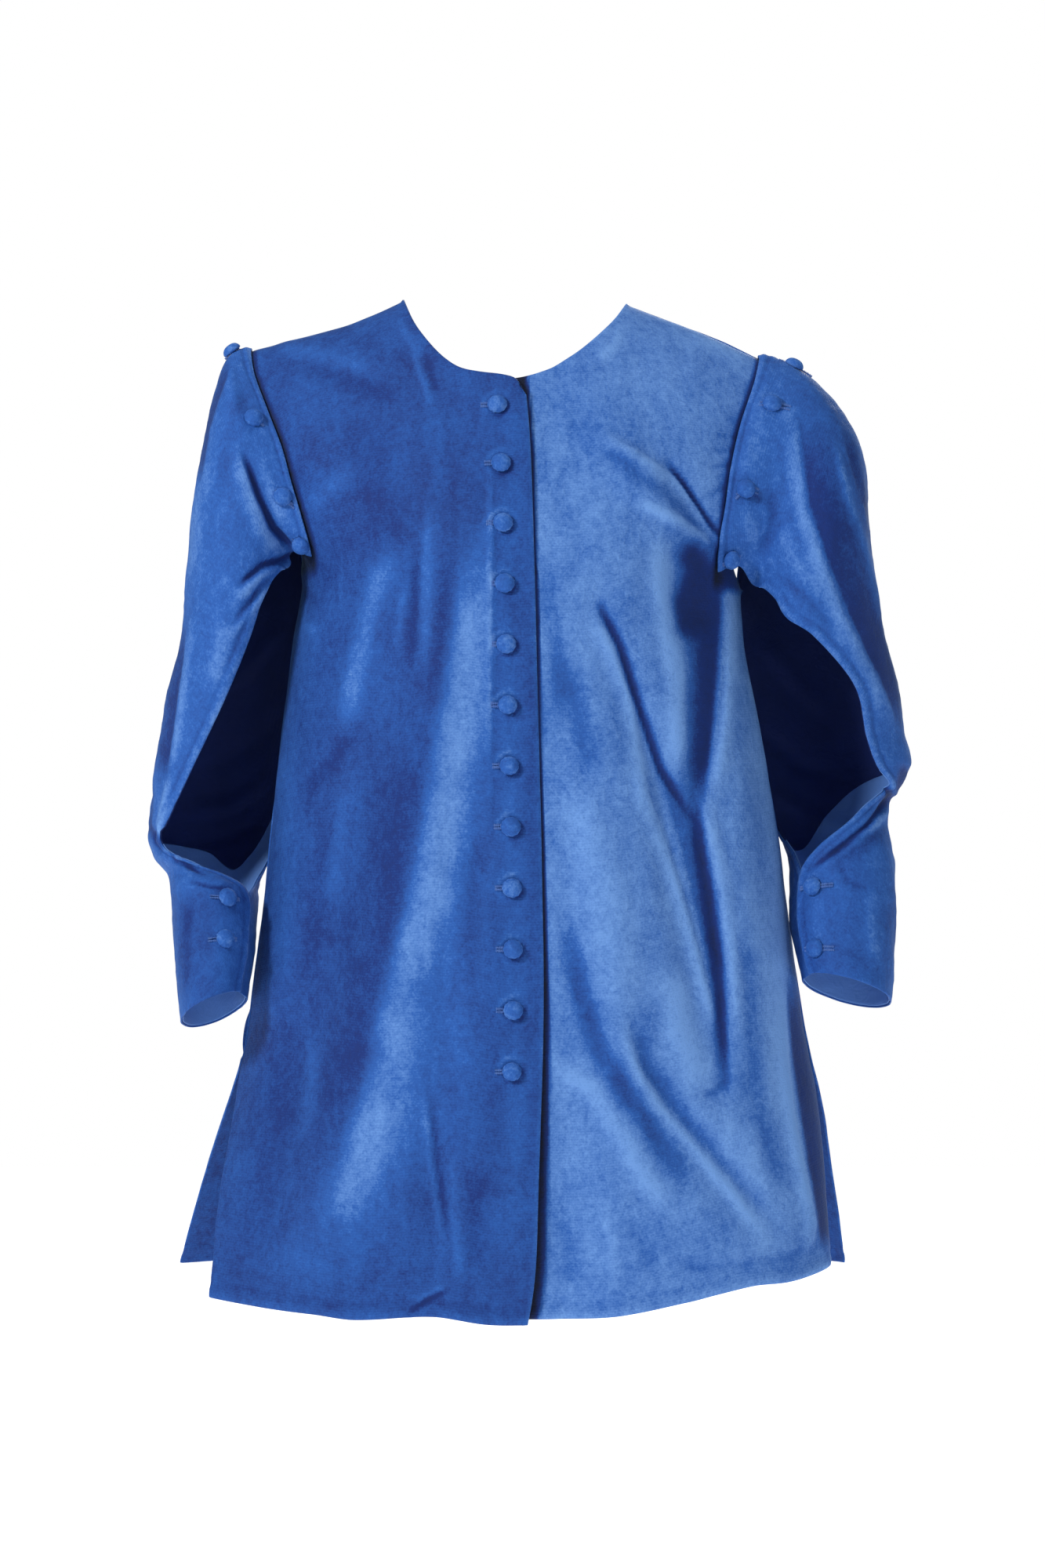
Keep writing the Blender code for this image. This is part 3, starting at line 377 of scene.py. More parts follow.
# Sleeves, drawn from the front in the same way, then from the outer side (y and z) and from behind
DRAWN_SLEEVE_RIGHT = table(
    Crease,
    (((-214, -94), (-202, -126), (-191, -151), (-175, -169)), 3.2, 2, -3.6, -0.80),
    (((-221, -88), (-209, -128), (-199, -154), (-183, -172)), 8, 3, 2.2, 0.36),
    (((-205, -92), (-193, -126), (-184, -150)), 3, 6, 1.4, 0.16),
    (((-171, -172), (-200, -181), (-218, -196)), 2, 3.2, -3.4, -0.75),
    (((-176, -180), (-202, -191), (-222, -208)), 4, 5, 1.8, 0.30),
    (((-182, -178), (-202, -200), (-222, -226)), 2.4, 3, -1.8, -0.36),
    (((-192, -196), (-208, -216), (-226, -240)), 3, 3, 1.2, 0.22),
    (((-228, -226), (-240, -276)), 8, 9, 1.0, 0.26),
    (((-222, -286), (-236, -310)), 7, 7, 0.8, 0.28),
    (((-226, -16), (-244, -72), (-250, -116)), 9, 1.8, -1.4, -0.46),
    (((-262, -226), (-272, -300), (-279, -350)), 9, 2, -1.6, -0.46),
    (((-256, -226), (-266, -300), (-273, -346)), 3, 3, 1.2, 0.24),
    (((-245, -80), (-254, -150), (-259, -206)), 5, 7, 1.0, 0.14),
    (((-216, -40), (-228, -90), (-240, -140)), 5, 8, -0.6, -0.14),
    (((-272, -344), (-282, -390), (-265, -424)), 3, 3, 2.2, 0.36),
    (((-279, -390), (-270, -417), (-246, -428)), 1.8, 2, -2.2, -0.56),
    (((-290, -356), (-292, -388), (-280, -412)), 3, 3, -1.6, -0.46),
    (((-226, -439), (-240, -438), (-258, -434)), 1.8, 1.8, -1.0, -0.40),
    (((-258, -450), (-262, -480), (-262, -520)), 5, 4, -0.6, -0.20),
    (((-232, -462), (-236, -490), (-246, -512)), 6, 8, 0.6, 0.12),
    (((-248, -436), (-246, -480), (-250, -540)), 30, 26, 0.0, -0.24),
)
DRAWN_SLEEVE_LEFT = table(
    Crease,
    (((228, -62), (238, -134), (251, -174), (271, -224), (294, -271), (309, -310)), 2, 30, -1.0, -0.50),
    (((222, -56), (230, -134), (243, -174), (262, -224), (286, -270), (302, -308)), 8, 3, 2.2, 0.28),
    (((255, -84), (268, -130), (283, -178), (292, -226)), 3, 4, 1.6, 0.34),
    (((262, -70), (280, -130), (294, -180), (301, -226)), 2, 7, -1.4, -0.34),
    (((200, -130), (190, -126), (180, -124)), 3, 3, -1.4, -0.30),
    (((184, -140), (190, -152), (188, -166)), 7, 9, 1.4, 0.20),
    (((204, -120), (208, -150), (196, -176)), 4, 5, -1.4, -0.24),
    (((212, -150), (226, -180), (242, -202)), 6, 6, 1.0, 0.16),
    (((205, -186), (232, -206), (256, -232)), 4, 3, -0.8, -0.16),
    (((196, -40), (190, -80), (184, -110)), 5, 7, 0.6, 0.12),
    (((291, -345), (300, -366), (281, -389), (236, -424)), 1.6, 2.2, -2.4, -0.66),
    (((297, -345), (306, -367), (284, -394), (240, -428)), 2.4, 3, 1.6, 0.26),
    (((314, -340), (310, -360), (292, -378)), 5, 6, -2.0, -0.50),
    (((298, -392), (274, -402), (248, -414)), 4, 10, -1.2, -0.34),
    (((313, -396), (312, -450), (310, -500)), 8, 6, -0.8, -0.34),
    (((286, -440), (284, -470), (290, -498)), 6, 7, 0.8, 0.20),
    (((240, -440), (242, -470), (248, -490)), 5, 5, 0.4, 0.12),
    (((260, -420), (266, -434), (280, -440)), 2.5, 2.5, -0.8, -0.22),
    (((262, -404), (268, -450), (272, -520)), 34, 34, 0.0, -0.10),
    (((266, -110), (288, -200), (306, -300)), 10, 16, 0.0, -0.10),
)
DRAWN_SLEEVE_SIDE = table(
    Crease,
    (((-30, -60), (-10, -150), (10, -244)), 8, 12, -2.8, -0.23),
    (((4, -56), (22, -150), (34, -264)), 12, 8, 2.8, 0.17),
    (((44, -90), (52, -170), (50, -250)), 8, 8, -2.0, -0.20),
    (((-20, -256), (4, -320), (28, -362)), 6, 9, -2.8, -0.26),
    (((42, -326), (16, -372), (-16, -398)), 5, 8, -3.0, -0.33),
    (((46, -354), (20, -394), (-10, -416)), 8, 5, 2.6, 0.22),
    (((-18, -436), (-22, -480), (-30, -520)), 8, 9, 1.6, 0.10),
)
DRAWN_SLEEVE_BEHIND = table(
    Crease,
    (((196, -76), (214, -130), (226, -204)), 6, 10, -2.8, -0.23),
    (((228, -66), (244, -150), (250, -244)), 10, 8, 2.6, 0.16),
    (((188, -228), (218, -262), (252, -292)), 5, 10, -2.6, -0.26),
    (((186, -298), (222, -328), (262, -346)), 9, 6, 2.6, 0.18),
    (((194, -354), (232, -376), (278, -384)), 4, 8, -3.0, -0.33),
    (((204, -386), (236, -400), (274, -406)), 6, 5, 2.2, 0.17),
    (((262, -110), (268, -180), (276, -240)), 6, 8, -1.6, -0.16),
)

# The sleeves' buttons: degrees round from the outer point, and distance along the rings
SleeveButton = namedtuple("SleeveButton", "name turn station")
BUTTONS_RIGHT = table(
    SleeveButton,
    ("front_1", 70.0, 0.98), ("front_2", 113.0, 0.67), ("front_3", 146.0, 0.46), ("top", 4.0, 1.30),
    ("back_1", -42.0, 0.60), ("back_2", -70.0, 0.62), ("back_3", -96.0, 0.62),
    ("cuff_1", 112.0, 12.18), ("cuff_2", 111.0, 13.00),
)
BUTTONS_LEFT = table(
    SleeveButton,
    ("front_1", 54.0, 1.20), ("front_2", 100.0, 0.95), ("front_3", 145.0, 0.62), ("top", 6.0, 1.50),
    ("back_1", -42.0, 0.70), ("back_2", -76.0, 0.65), ("back_3", -107.0, 0.60),
    ("cuff_1", 126.0, 14.35), ("cuff_2", 131.0, 15.50),
)

# Where the sleeve lining gives way to the facing: a station for each place round the sleeve
FacingRow = namedtuple("FacingRow", "round right left")
FACING_TOP = table(
    FacingRow,
    (0.0, 9.1, 9.2), (0.3, 9.1, 9.2), (0.5, 9.2, 9.6), (0.65, 9.5, 10.9), (0.8, 10.1, 12.6),
    (1.0, 6.8, 12.2),
)

Side = namedtuple(
    "Side", "name sign neckline shoulder hem armhole rings folds drawn drawn_sleeve buttons"
)
RIGHT = Side(
    "right", -1, NECKLINE_RIGHT, SHOULDER_RIGHT, HEM_RIGHT, ARMHOLE_RIGHT, SLEEVE_RIGHT,
    FOLDS_RIGHT, DRAWN_RIGHT, DRAWN_SLEEVE_RIGHT, BUTTONS_RIGHT,
)
LEFT = Side(
    "left", 1, NECKLINE_LEFT, SHOULDER_LEFT, HEM_LEFT, ARMHOLE_LEFT, SLEEVE_LEFT,
    FOLDS_LEFT, DRAWN_LEFT, DRAWN_SLEEVE_LEFT, BUTTONS_LEFT,
)
SIDES = (RIGHT, LEFT)

# Where the drawing was made from, and the middle of its picture
EYE_DISTANCE = 2500.0
CREASE_FALL = 2.4
PICTURE_X = 7.0
PICTURE_Z = -356.0

# Flat cuts in metres: width, length and area of the cloth that shows
Cut = namedtuple("Cut", "width length area")


# Surfaces of the coat


def smoothstep(low, high, value):
    share = np.clip((value - low) / (high - low), 0.0, 1.0)
    return share * share * (3 - 2 * share)


def lookup(rows, key, column, at):
    """Read a column of a table at values of its key column, on a smooth curve through the rows."""
    keys = np.array([getattr(row, key) for row in rows], float)
    values = np.array([getattr(row, column) for row in rows], float)
    if keys[0] > keys[-1]:
        keys, values = keys[::-1], values[::-1]
    last = len(keys) - 1
    at = np.clip(np.asarray(at, float), keys[0], keys[-1])
    cell = np.clip(np.searchsorted(keys, at) - 1, 0, last - 1)
    places = np.arange(last + 1)
    after, before = np.minimum(places + 1, last), np.maximum(places - 1, 0)
    slopes = (values[after] - values[before]) / (keys[after] - keys[before])
    span = keys[cell + 1] - keys[cell]
    share = (at - keys[cell]) / span
    return (
        values[cell] * (1 + 2 * share) * (1 - share) ** 2
        + slopes[cell] * span * share * (1 - share) ** 2
        + values[cell + 1] * share * share * (3 - 2 * share)
        - slopes[cell + 1] * span * share * share * (1 - share)
    )


def leg_distance(x, z, start, end):
    """How far points lie from a straight leg, and the share of the leg that they lie beside."""
    run_x, run_z = end[0] - start[0], end[1] - start[1]
    share = ((x - start[0]) * run_x + (z - start[1]) * run_z) / (run_x**2 + run_z**2)
    share = np.clip(share, 0.0, 1.0)
    return np.hypot(start[0] + share * run_x - x, start[1] + share * run_z - z), share


def fold_height(folds, x, z):
    """How far a table of folds lifts the cloth at places seen from one side."""
    total = np.zeros_like(x)
    for fold in folds:
        top, middle, low = (fold.x_top, fold.z_top), (fold.x_mid, fold.z_mid), (fold.x_low, fold.z_low)
        first, first_share = leg_distance(x, z, top, middle)
        second, second_share = leg_distance(x, z, middle, low)
        distance = np.minimum(first, second)
        along = np.where(first <= second, first_share / 2, (1 + second_share) / 2)
        fade = np.sin(math.pi * np.clip(along, *FOLD_ENDS)) ** 0.5
        total += fold.rise * fade * np.exp(-((distance / fold.width) ** 2))
    return total


def drawn_place(points):
    """Where the front drawing shows points of the cloth, on the plane of the shoulders."""
    nearer = EYE_DISTANCE / (EYE_DISTANCE + points[..., 1])
    x = PICTURE_X + (points[..., 0] - PICTURE_X) * nearer
    return x, PICTURE_Z + (points[..., 2] - PICTURE_Z) * nearer


def line_distance(x, z, line):
    """How far points lie to the right of a line drawn downwards, and how far along it they are."""
    nearest = np.full_like(x, 1e9)
    signed, along = np.zeros_like(x), np.zeros_like(x)
    legs = len(line) - 1
    for leg in range(legs):
        start, end = line[leg], line[leg + 1]
        distance, share = leg_distance(x, z, start, end)
        turned = (end[0] - start[0]) * (z - start[1]) - (end[1] - start[1]) * (x - start[0])
        closer = distance < nearest
        nearest = np.where(closer, distance, nearest)
        signed = np.where(closer, np.where(turned > 0, distance, -distance), signed)
        along = np.where(closer, (leg + share) / legs, along)
    return signed, along


def drawn_creases(creases, x, z):
    """The rise of the cloth and its tone, painted shade and highlight along the creases, that a drawing
    gives at its places.
    """
    rise, tone = np.zeros_like(x), np.zeros_like(x)
    for crease in creases:
        distance, along = line_distance(x, z, crease.line)
        width = np.where(distance < 0, crease.left, crease.right)
        shape = np.exp(-np.abs(distance / width) ** CREASE_FALL)
        shape = shape * smoothstep(-0.08, 0.2, along) * smoothstep(1.08, 0.8, along)
        rise += crease.rise * shape
        tone += crease.tone * shape
    return rise, tone


def ripple(across, along, seed, length, waves=7):
    """A soft uneven wave over the cloth, between about -1 and 1."""
    rng = np.random.default_rng(seed)
    total = np.zeros_like(across)
    for _ in range(waves):
        angle, phase = rng.uniform(0, 2 * math.pi, 2)
        wave = length * rng.uniform(0.7, 1.6)
        travel = across * math.cos(angle) + along * math.sin(angle)
        total += np.cos(travel * 2 * math.pi / wave + phase)
    return total / waves**0.5 / 1.4


def underarm(side):
    return side.armhole[0].z


def body_point(side, face, out, z):
    """Points of the body's outer surface: out from the centre line on one side, at heights."""
    front = face == "front"
    half = lookup(LEVELS, "z", side.name if front else side.name + "_back", z)
    depth = lookup(LEVELS, "z", face, z)
    edge_y = lookup(LEVELS, "z", side.name + "_y" if front else "back_y", z)
    roll = np.radians(lookup(LEVELS, "z", side.name + "_roll", z))
    share = np.clip(out / half, -1.0, 1.0)
    turn = np.arcsin(share * np.sin(roll))
    bulge = (np.cos(turn) - np.cos(roll)) / (1 - np.cos(roll))
    y = edge_y + (depth - edge_y) * bulge
    seam_z = lookup(side.shoulder, "out", "z", np.abs(out))
    drop = np.clip((seam_z - z) / (seam_z - underarm(side)), 0.0, 1.0)
    rounding = (1 - (1 - drop) ** SHOULDER_ROUNDNESS) ** (1 / SHOULDER_ROUNDNESS)
    y = np.where(z > underarm(side), SHOULDER_SEAM_Y + (y - SHOULDER_SEAM_Y) * rounding, y)
    x = side.sign * out
    rise = fold_height(side.folds if front else FOLDS_BACK, x, z)
    if front:
        rise = rise * smoothstep(*FOLDS_CLEAR_OF_BUTTONS, out)
    rise = rise * np.where(z > VENT_TOP, smoothstep(*FOLDS_CLEAR_OF_SEAM, share), 1.0)
    towards = -1 if front else 1
    x = x + side.sign * np.sin(turn) * rise
    y = y + towards * np.cos(turn) * rise
    if front and side is LEFT:
        under = UNDERLAP_TOP + (UNDERLAP_HEM - UNDERLAP_TOP) * smoothstep(*UNDERLAP_DEEPENS, z)
        y = y + under * smoothstep(*UNDERLAP_ENDS, out)
    return np.stack((x, y, z + 0 * x), axis=-1)


def front_edge(side, z):
    if side is LEFT:
        return np.full_like(z, -UNDERLAP_REACH)
    return -lookup(FRONT_EDGE, "z", "past", z)


def side_edge(side, face, z):
    """How far out the side edge, or above the underarm the armhole edge, of a panel lies."""
    level = lookup(LEVELS, "z", side.name if face == "front" else side.name + "_back", z)
    return np.where(z >= underarm(side), lookup(side.armhole, "z", face, z), level)


def top_out(side, face, across):
    """Where columns of half a panel meet its top edge: neckline first, then shoulder seam."""
    line = side.neckline if face == "front" else NECKLINE_BACK
    inner, neck = line[0].out, side.neckline[-1].out
    tip = side.armhole[-1].front
    on_neck = inner + (neck - inner) * (1 - (1 - np.clip(across * 2, 0, 1)) ** NECK_SPREAD)
    on_shoulder = neck + (tip - neck) * np.clip(across * 2 - 1, 0, 1)
    return np.where(across <= 0.5, on_neck, on_shoulder)


def top_height(side, face, out):
    line = side.neckline if face == "front" else NECKLINE_BACK
    shoulder = lookup(side.shoulder, "out", "z", np.maximum(out, 0))
    neck = np.minimum(lookup(line, "out", "z", out), shoulder)
    return np.where(out < side.neckline[-1].out - 0.01, neck, shoulder)


def half_panel(side, face, across, up):
    """Points of half a body panel: across from its centre edge, up from hem (0) to top (1)."""
    arm = underarm(side)
    tops = top_out(side, face, across)
    inner_top = (side.neckline if face == "front" else NECKLINE_BACK)[0].out
    top_share = (tops - inner_top) / (side.armhole[-1].front - inner_top)
    turn = math.radians(COLUMN_TURN)
    even = np.sin(across * turn) / math.sin(turn)

    def out_at(z, blend):
        inner = front_edge(side, z) if face == "front" else np.zeros_like(z)
        outer = side_edge(side, face, z)
        return inner + (outer - inner) * (even + (top_share - even) * blend)

    level = np.full_like(across, HEM_BACK)
    hem = lookup(side.hem, "out", "z", out_at(level, 0)) if face == "front" else level
    low = np.clip(up / UNDERARM_UP, 0, 1)
    high = np.clip((up - UNDERARM_UP) / (1 - UNDERARM_UP), 0, 1)
    z_low = hem + (arm - hem) * low
    z_high = arm + (top_height(side, face, tops) - arm) * high
    above = up > UNDERARM_UP
    z = np.where(above, z_high, z_low)
    out = np.where(above, out_at(z_high, high), out_at(z_low, 0))
    out = np.where(up >= 1.0, tops, out)
    points = body_point(side, face, out, z)
    seam = (across > 0.999) & (z > VENT_TOP) & (z < arm + 1) | (up > 0.999) & (across >= 0.5)
    gap = (-1 if face == "front" else 1) * SEAM_GAP / 2
    seam_y = np.where(up > 0.999, SHOULDER_SEAM_Y, 0.0) + gap
    points[..., 1] = np.where(seam, seam_y, points[..., 1])
    return points


def unit(vectors):
    return vectors / np.maximum(np.linalg.norm(vectors, axis=-1, keepdims=True), 1e-9)


def body_normal(side, face, out, z):
    inner, outer = out - NORMAL_STEP, out + NORMAL_STEP
    across = body_point(side, face, outer, z) - body_point(side, face, inner, z)
    down = body_point(side, face, out, z - NORMAL_STEP) - body_point(side, face, out, z)
    normal = unit(np.cross(across, down))
    outward = -1 if face == "front" else 1
    return normal * np.where(normal[..., 1:2] * outward > 0, 1, -1)


def armhole_place(side, turn, edge):
    """Points round the armhole: turn is 0 at the shoulder tip and 180 or -180 at the underarm."""
    top, low = side.armhole[-1].z, float(side.armhole[0].z)
    column = {"front": "front", "back": "back"}
    rise, puff = SLEEVE_RISE, ARMHOLE_PUFF * np.sin(np.radians(turn))
    if edge == "sleeve":
        low += 10
        top = float(lookup(side.shoulder, "out", "z", side.armhole[-1].sleeve))
        column = {"front": "sleeve", "back": "sleeve"}
        rise, puff = SLEEVE_EDGE_RISE, 0.0
    z = (top + low) / 2 + (top - low) / 2 * np.cos(np.radians(turn))
    places = {}
    for face in ("front", "back"):
        out = lookup(side.armhole, "z", column[face], z)
        height = np.minimum(z, lookup(side.shoulder, "out", "z", out) - 0.01)
        over_tip = np.array((side.sign * 0.2, 0.0, 1.0))
        clear = smoothstep(*TIP_TURNS, np.abs(turn))[..., None]
        away = over_tip + (body_normal(side, face, out, height) - over_tip) * clear
        places[face] = body_point(side, face, out, height) + unit(away) * rise
    at = np.where((turn >= 0)[..., None], places["front"], places["back"])
    at[..., 1] -= puff
    return at


def ring_place(side, ring, turn):
    """Points of a sleeve ring at turns in degrees from its outer point, front first."""
    angle = np.radians(turn)[..., None]
    inner = np.where(turn >= 0, ring.inner, ring.tuck)[..., None]
    zero = np.zeros_like(inner)
    outer_point = np.array((ring.out, 0.0, ring.z_out))
    inner_point = np.concatenate((inner, zero, zero + ring.z_in), axis=-1)
    middle_y, half_depth = (ring.front + ring.back) / 2, (ring.back - ring.front) / 2
    at = (outer_point + inner_point) / 2 + np.cos(angle) * (outer_point - inner_point) / 2
    at = at + np.sin(angle) * np.array((0.0, -half_depth, ring.lift))
    at[..., 1] += middle_y
    centre = np.concatenate(((ring.out + inner) / 2, zero + middle_y, at[..., 2:3]), axis=-1)
    at = at + unit(centre - at) * (CUFF_UNDER * smoothstep(*CUFF_UNDER_TURNS, -turn))[..., None]
    return at * np.array((side.sign, 1, 1))


def station_limits(side, index):
    limits = [HEAD_EDGE, HEAD_ARMHOLE] + [(ring.open, ring.shut) for ring in side.rings]
    return limits[index]


def sleeve_station(side, index, across):
    start, end = station_limits(side, index)
    turn = start + (end - start) * across
    if index == 0:
        return armhole_place(side, turn, "sleeve")
    if index == 1:
        return armhole_place(side, turn, "body")
    return ring_place(side, side.rings[index - 2], turn)


def sleeve_points(side, across, station):
    """Points of the sleeve's outer face, on smooth lines through the stations."""
    last = len(side.rings) + 1
    cell = np.clip(station.astype(int), 0, last - 1)
    share = (station - cell)[..., None]
    points = np.zeros(across.shape + (3,))
    for index in np.unique(cell):
        here = cell == index
        a, b, c, d = (
            sleeve_station(side, min(max(index + k, 0), last), across[here]) for k in (-1, 0, 1, 2)
        )
        s = share[here]
        points[here] = 0.5 * (
            2 * b + (c - a) * s + (2 * a - 5 * b + 4 * c - d) * s**2 + (3 * b - a - 3 * c + d) * s**3
        )
    return points


def station_across(side, turn, station):
    low = int(station)
    share = station - low
    first, after = station_limits(side, low), station_limits(side, low + 1)
    start = first[0] + (after[0] - first[0]) * share
    end = first[1] + (after[1] - first[1]) * share
    return (turn - start) / (end - start)


def grid_normals(points, outward):
    """Unit normals of a grid, turned to agree with an outward direction at its middle."""
    normals = unit(np.cross(np.gradient(points, axis=1), np.gradient(points, axis=0)))
    rows, columns = points.shape[:2]
    middle = normals[rows // 2, columns // 2]
    return normals if np.dot(middle, outward) > 0 else -normals


# Meshes


def rim_walk(rows, columns):
    rim = [(0, c) for c in range(columns)]
    rim += [(r, columns - 1) for r in range(1, rows)]
    rim += [(rows - 1, c) for c in range(columns - 2, -1, -1)]
    return rim + [(r, 0) for r in range(rows - 2, 0, -1)]


def cloth_wall(name, points, normals, thickness, tone, material):
    """A closed sheet of cloth with rounded edges, its flat layout as a UV map, and its tone."""
    rows, columns = points.shape[:2]
    count = rows * columns
    outer = points.reshape(-1, 3)
    inner = (points - normals * thickness).reshape(-1, 3)
    rim = rim_walk(rows, columns)
    index = np.array([r * columns + c for r, c in rim])
    ahead = np.roll(outer[index], -1, axis=0) - np.roll(outer[index], 1, axis=0)
    outwards = unit(np.cross(ahead, normals.reshape(-1, 3)[index]))
    centre = outer[index] - points[rows // 2, columns // 2]
    if np.mean(np.sum(outwards * centre, axis=1)) < 0:
        outwards = -outwards
    middle = (outer[index] + inner[index]) / 2 + outwards * thickness * EDGE_ROLL
    vertices = np.concatenate((outer, inner, middle)) * MM
    cell = (np.arange(rows - 1)[:, None] * columns + np.arange(columns - 1)).ravel()
    quads = np.stack((cell, cell + 1, cell + columns + 1, cell + columns), axis=1)
    a, b, d = outer[quads[:, 0]], outer[quads[:, 1]], outer[quads[:, 3]]
    facing = np.sum(np.cross(b - a, d - a) * normals.reshape(-1, 3)[quads[:, 0]], axis=1).sum() > 0
    top = quads if facing else quads[:, ::-1]
    below = (quads[:, ::-1] if facing else quads) + count
    along = np.arange(len(rim))
    after = np.roll(along, -1)
    upper = np.stack((index[after], index[along], 2 * count + along, 2 * count + after), axis=1)
    lower = np.stack(
        (2 * count + after, 2 * count + along, count + index[along], count + index[after]), axis=1
    )
    if not facing:
        upper, lower = upper[:, ::-1], lower[:, ::-1]
    faces = np.concatenate((top, below, upper, lower))
    mesh = bpy.data.meshes.new(name)
    mesh.from_pydata(vertices.tolist(), [], faces.tolist())
    mesh.shade_smooth()
    steps = np.linalg.norm(np.diff(points, axis=1, prepend=points[:, :1]), axis=2)
    rises = np.linalg.norm(np.diff(points, axis=0, prepend=points[:1]), axis=2)
    across, up = np.cumsum(steps, axis=1), np.cumsum(rises, axis=0)
    across -= across[:, columns // 2: columns // 2 + 1]
    flat = np.stack((across, up), axis=-1).reshape(-1, 2) * MM
    flat = np.concatenate((flat, flat, flat[index]))
    layer = mesh.uv_layers.new(name="flat_cut")
    corners = np.zeros(len(mesh.loops), int)
    mesh.loops.foreach_get("vertex_index", corners)
    layer.data.foreach_set("uv", flat[corners].ravel())
    shade = tone.ravel()
    # The rounded rim is painted a little lighter: painted highlight along the edge, partly worn
    values = np.concatenate((shade, shade * 0 + INSIDE_TONE, shade[index] + RIM_TONE))
    mesh.attributes.new("tone", "FLOAT", "POINT").data.foreach_set("value", values)
    mesh.materials.append(material)
    return add_piece(name, mesh)


def add_piece(name, mesh):
    piece = bpy.data.objects.new(name, mesh)
    bpy.context.scene.collection.objects.link(piece)
    return piece


def plain_mesh(piece):
    """Turn a piece with live modifiers into a plain mesh object of the same name."""
    bpy.context.view_layer.update()
    graph = bpy.context.evaluated_depsgraph_get()
    mesh = bpy.data.meshes.new_from_object(piece.evaluated_get(graph), depsgraph=graph)
    name = piece.name
    bpy.data.objects.remove(piece, do_unlink=True)
    mesh.name = name
    mesh.shade_smooth()
    return add_piece(name, mesh)


def declare(piece, slot, *nodes):
    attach(piece, "root")
    if nodes:
        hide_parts(*nodes)


def hang(piece, slot, node):
    declare(piece, slot, node)


# Node helpers


def node_tree(name, kind, inputs, outputs):
    """A node group with named sockets: (name, socket type, default) for inputs."""
    tree = bpy.data.node_groups.new(name, kind)
    for label, socket, default in inputs:
        made = tree.interface.new_socket(label, in_out="INPUT", socket_type=socket)
        if default is not None:
            made.default_value = default
    for label, socket in outputs:
        tree.interface.new_socket(label, in_out="OUTPUT", socket_type=socket)
    return tree, tree.nodes.new("NodeGroupInput"), tree.nodes.new("NodeGroupOutput")


def place(tree, kind, values=None, **settings):
    """A node with its settings, and its inputs set or linked by name or number."""
    node = tree.nodes.new(kind)
    for key, value in settings.items():
        setattr(node, key, value)
    for key, value in (values or {}).items():
        if isinstance(value, bpy.types.NodeSocket):
            tree.links.new(value, node.inputs[key])
        else:
            node.inputs[key].default_value = value
    return node


def math_node(tree, operation, first, second):
    return place(tree, "ShaderNodeMath", {0: first, 1: second}, operation=operation).outputs[0]


def add(tree, first, second):
    return math_node(tree, "ADD", first, second)


def times(tree, first, second):
    return math_node(tree, "MULTIPLY", first, second)


def clamp(tree, value):
    return place(tree, "ShaderNodeClamp", {0: value}).outputs[0]


def noise(tree, vector, scale, detail=2.0, distortion=0.0):
    node = place(
        tree, "ShaderNodeTexNoise",
        {"Vector": vector, "Scale": scale, "Detail": detail, "Distortion": distortion},
    )
    return math_node(tree, "SUBTRACT", node.outputs["Fac"], 0.5)


def blend_colour(tree, share, first, second):
    return place(
        tree, "ShaderNodeMix", {0: share, 6: first, 7: second}, data_type="RGBA"
    ).outputs[2]


# Materials

EFFECT_OUTPUTS = (
    ("Color", "NodeSocketColor"),
    ("Roughness", "NodeSocketFloat"),
    ("Height", "NodeSocketFloat"),
)


def end_effect(tree, gives, *results):
    for (label, _), result in zip(EFFECT_OUTPUTS, results):
        tree.links.new(result, gives.inputs[label])
    return tree


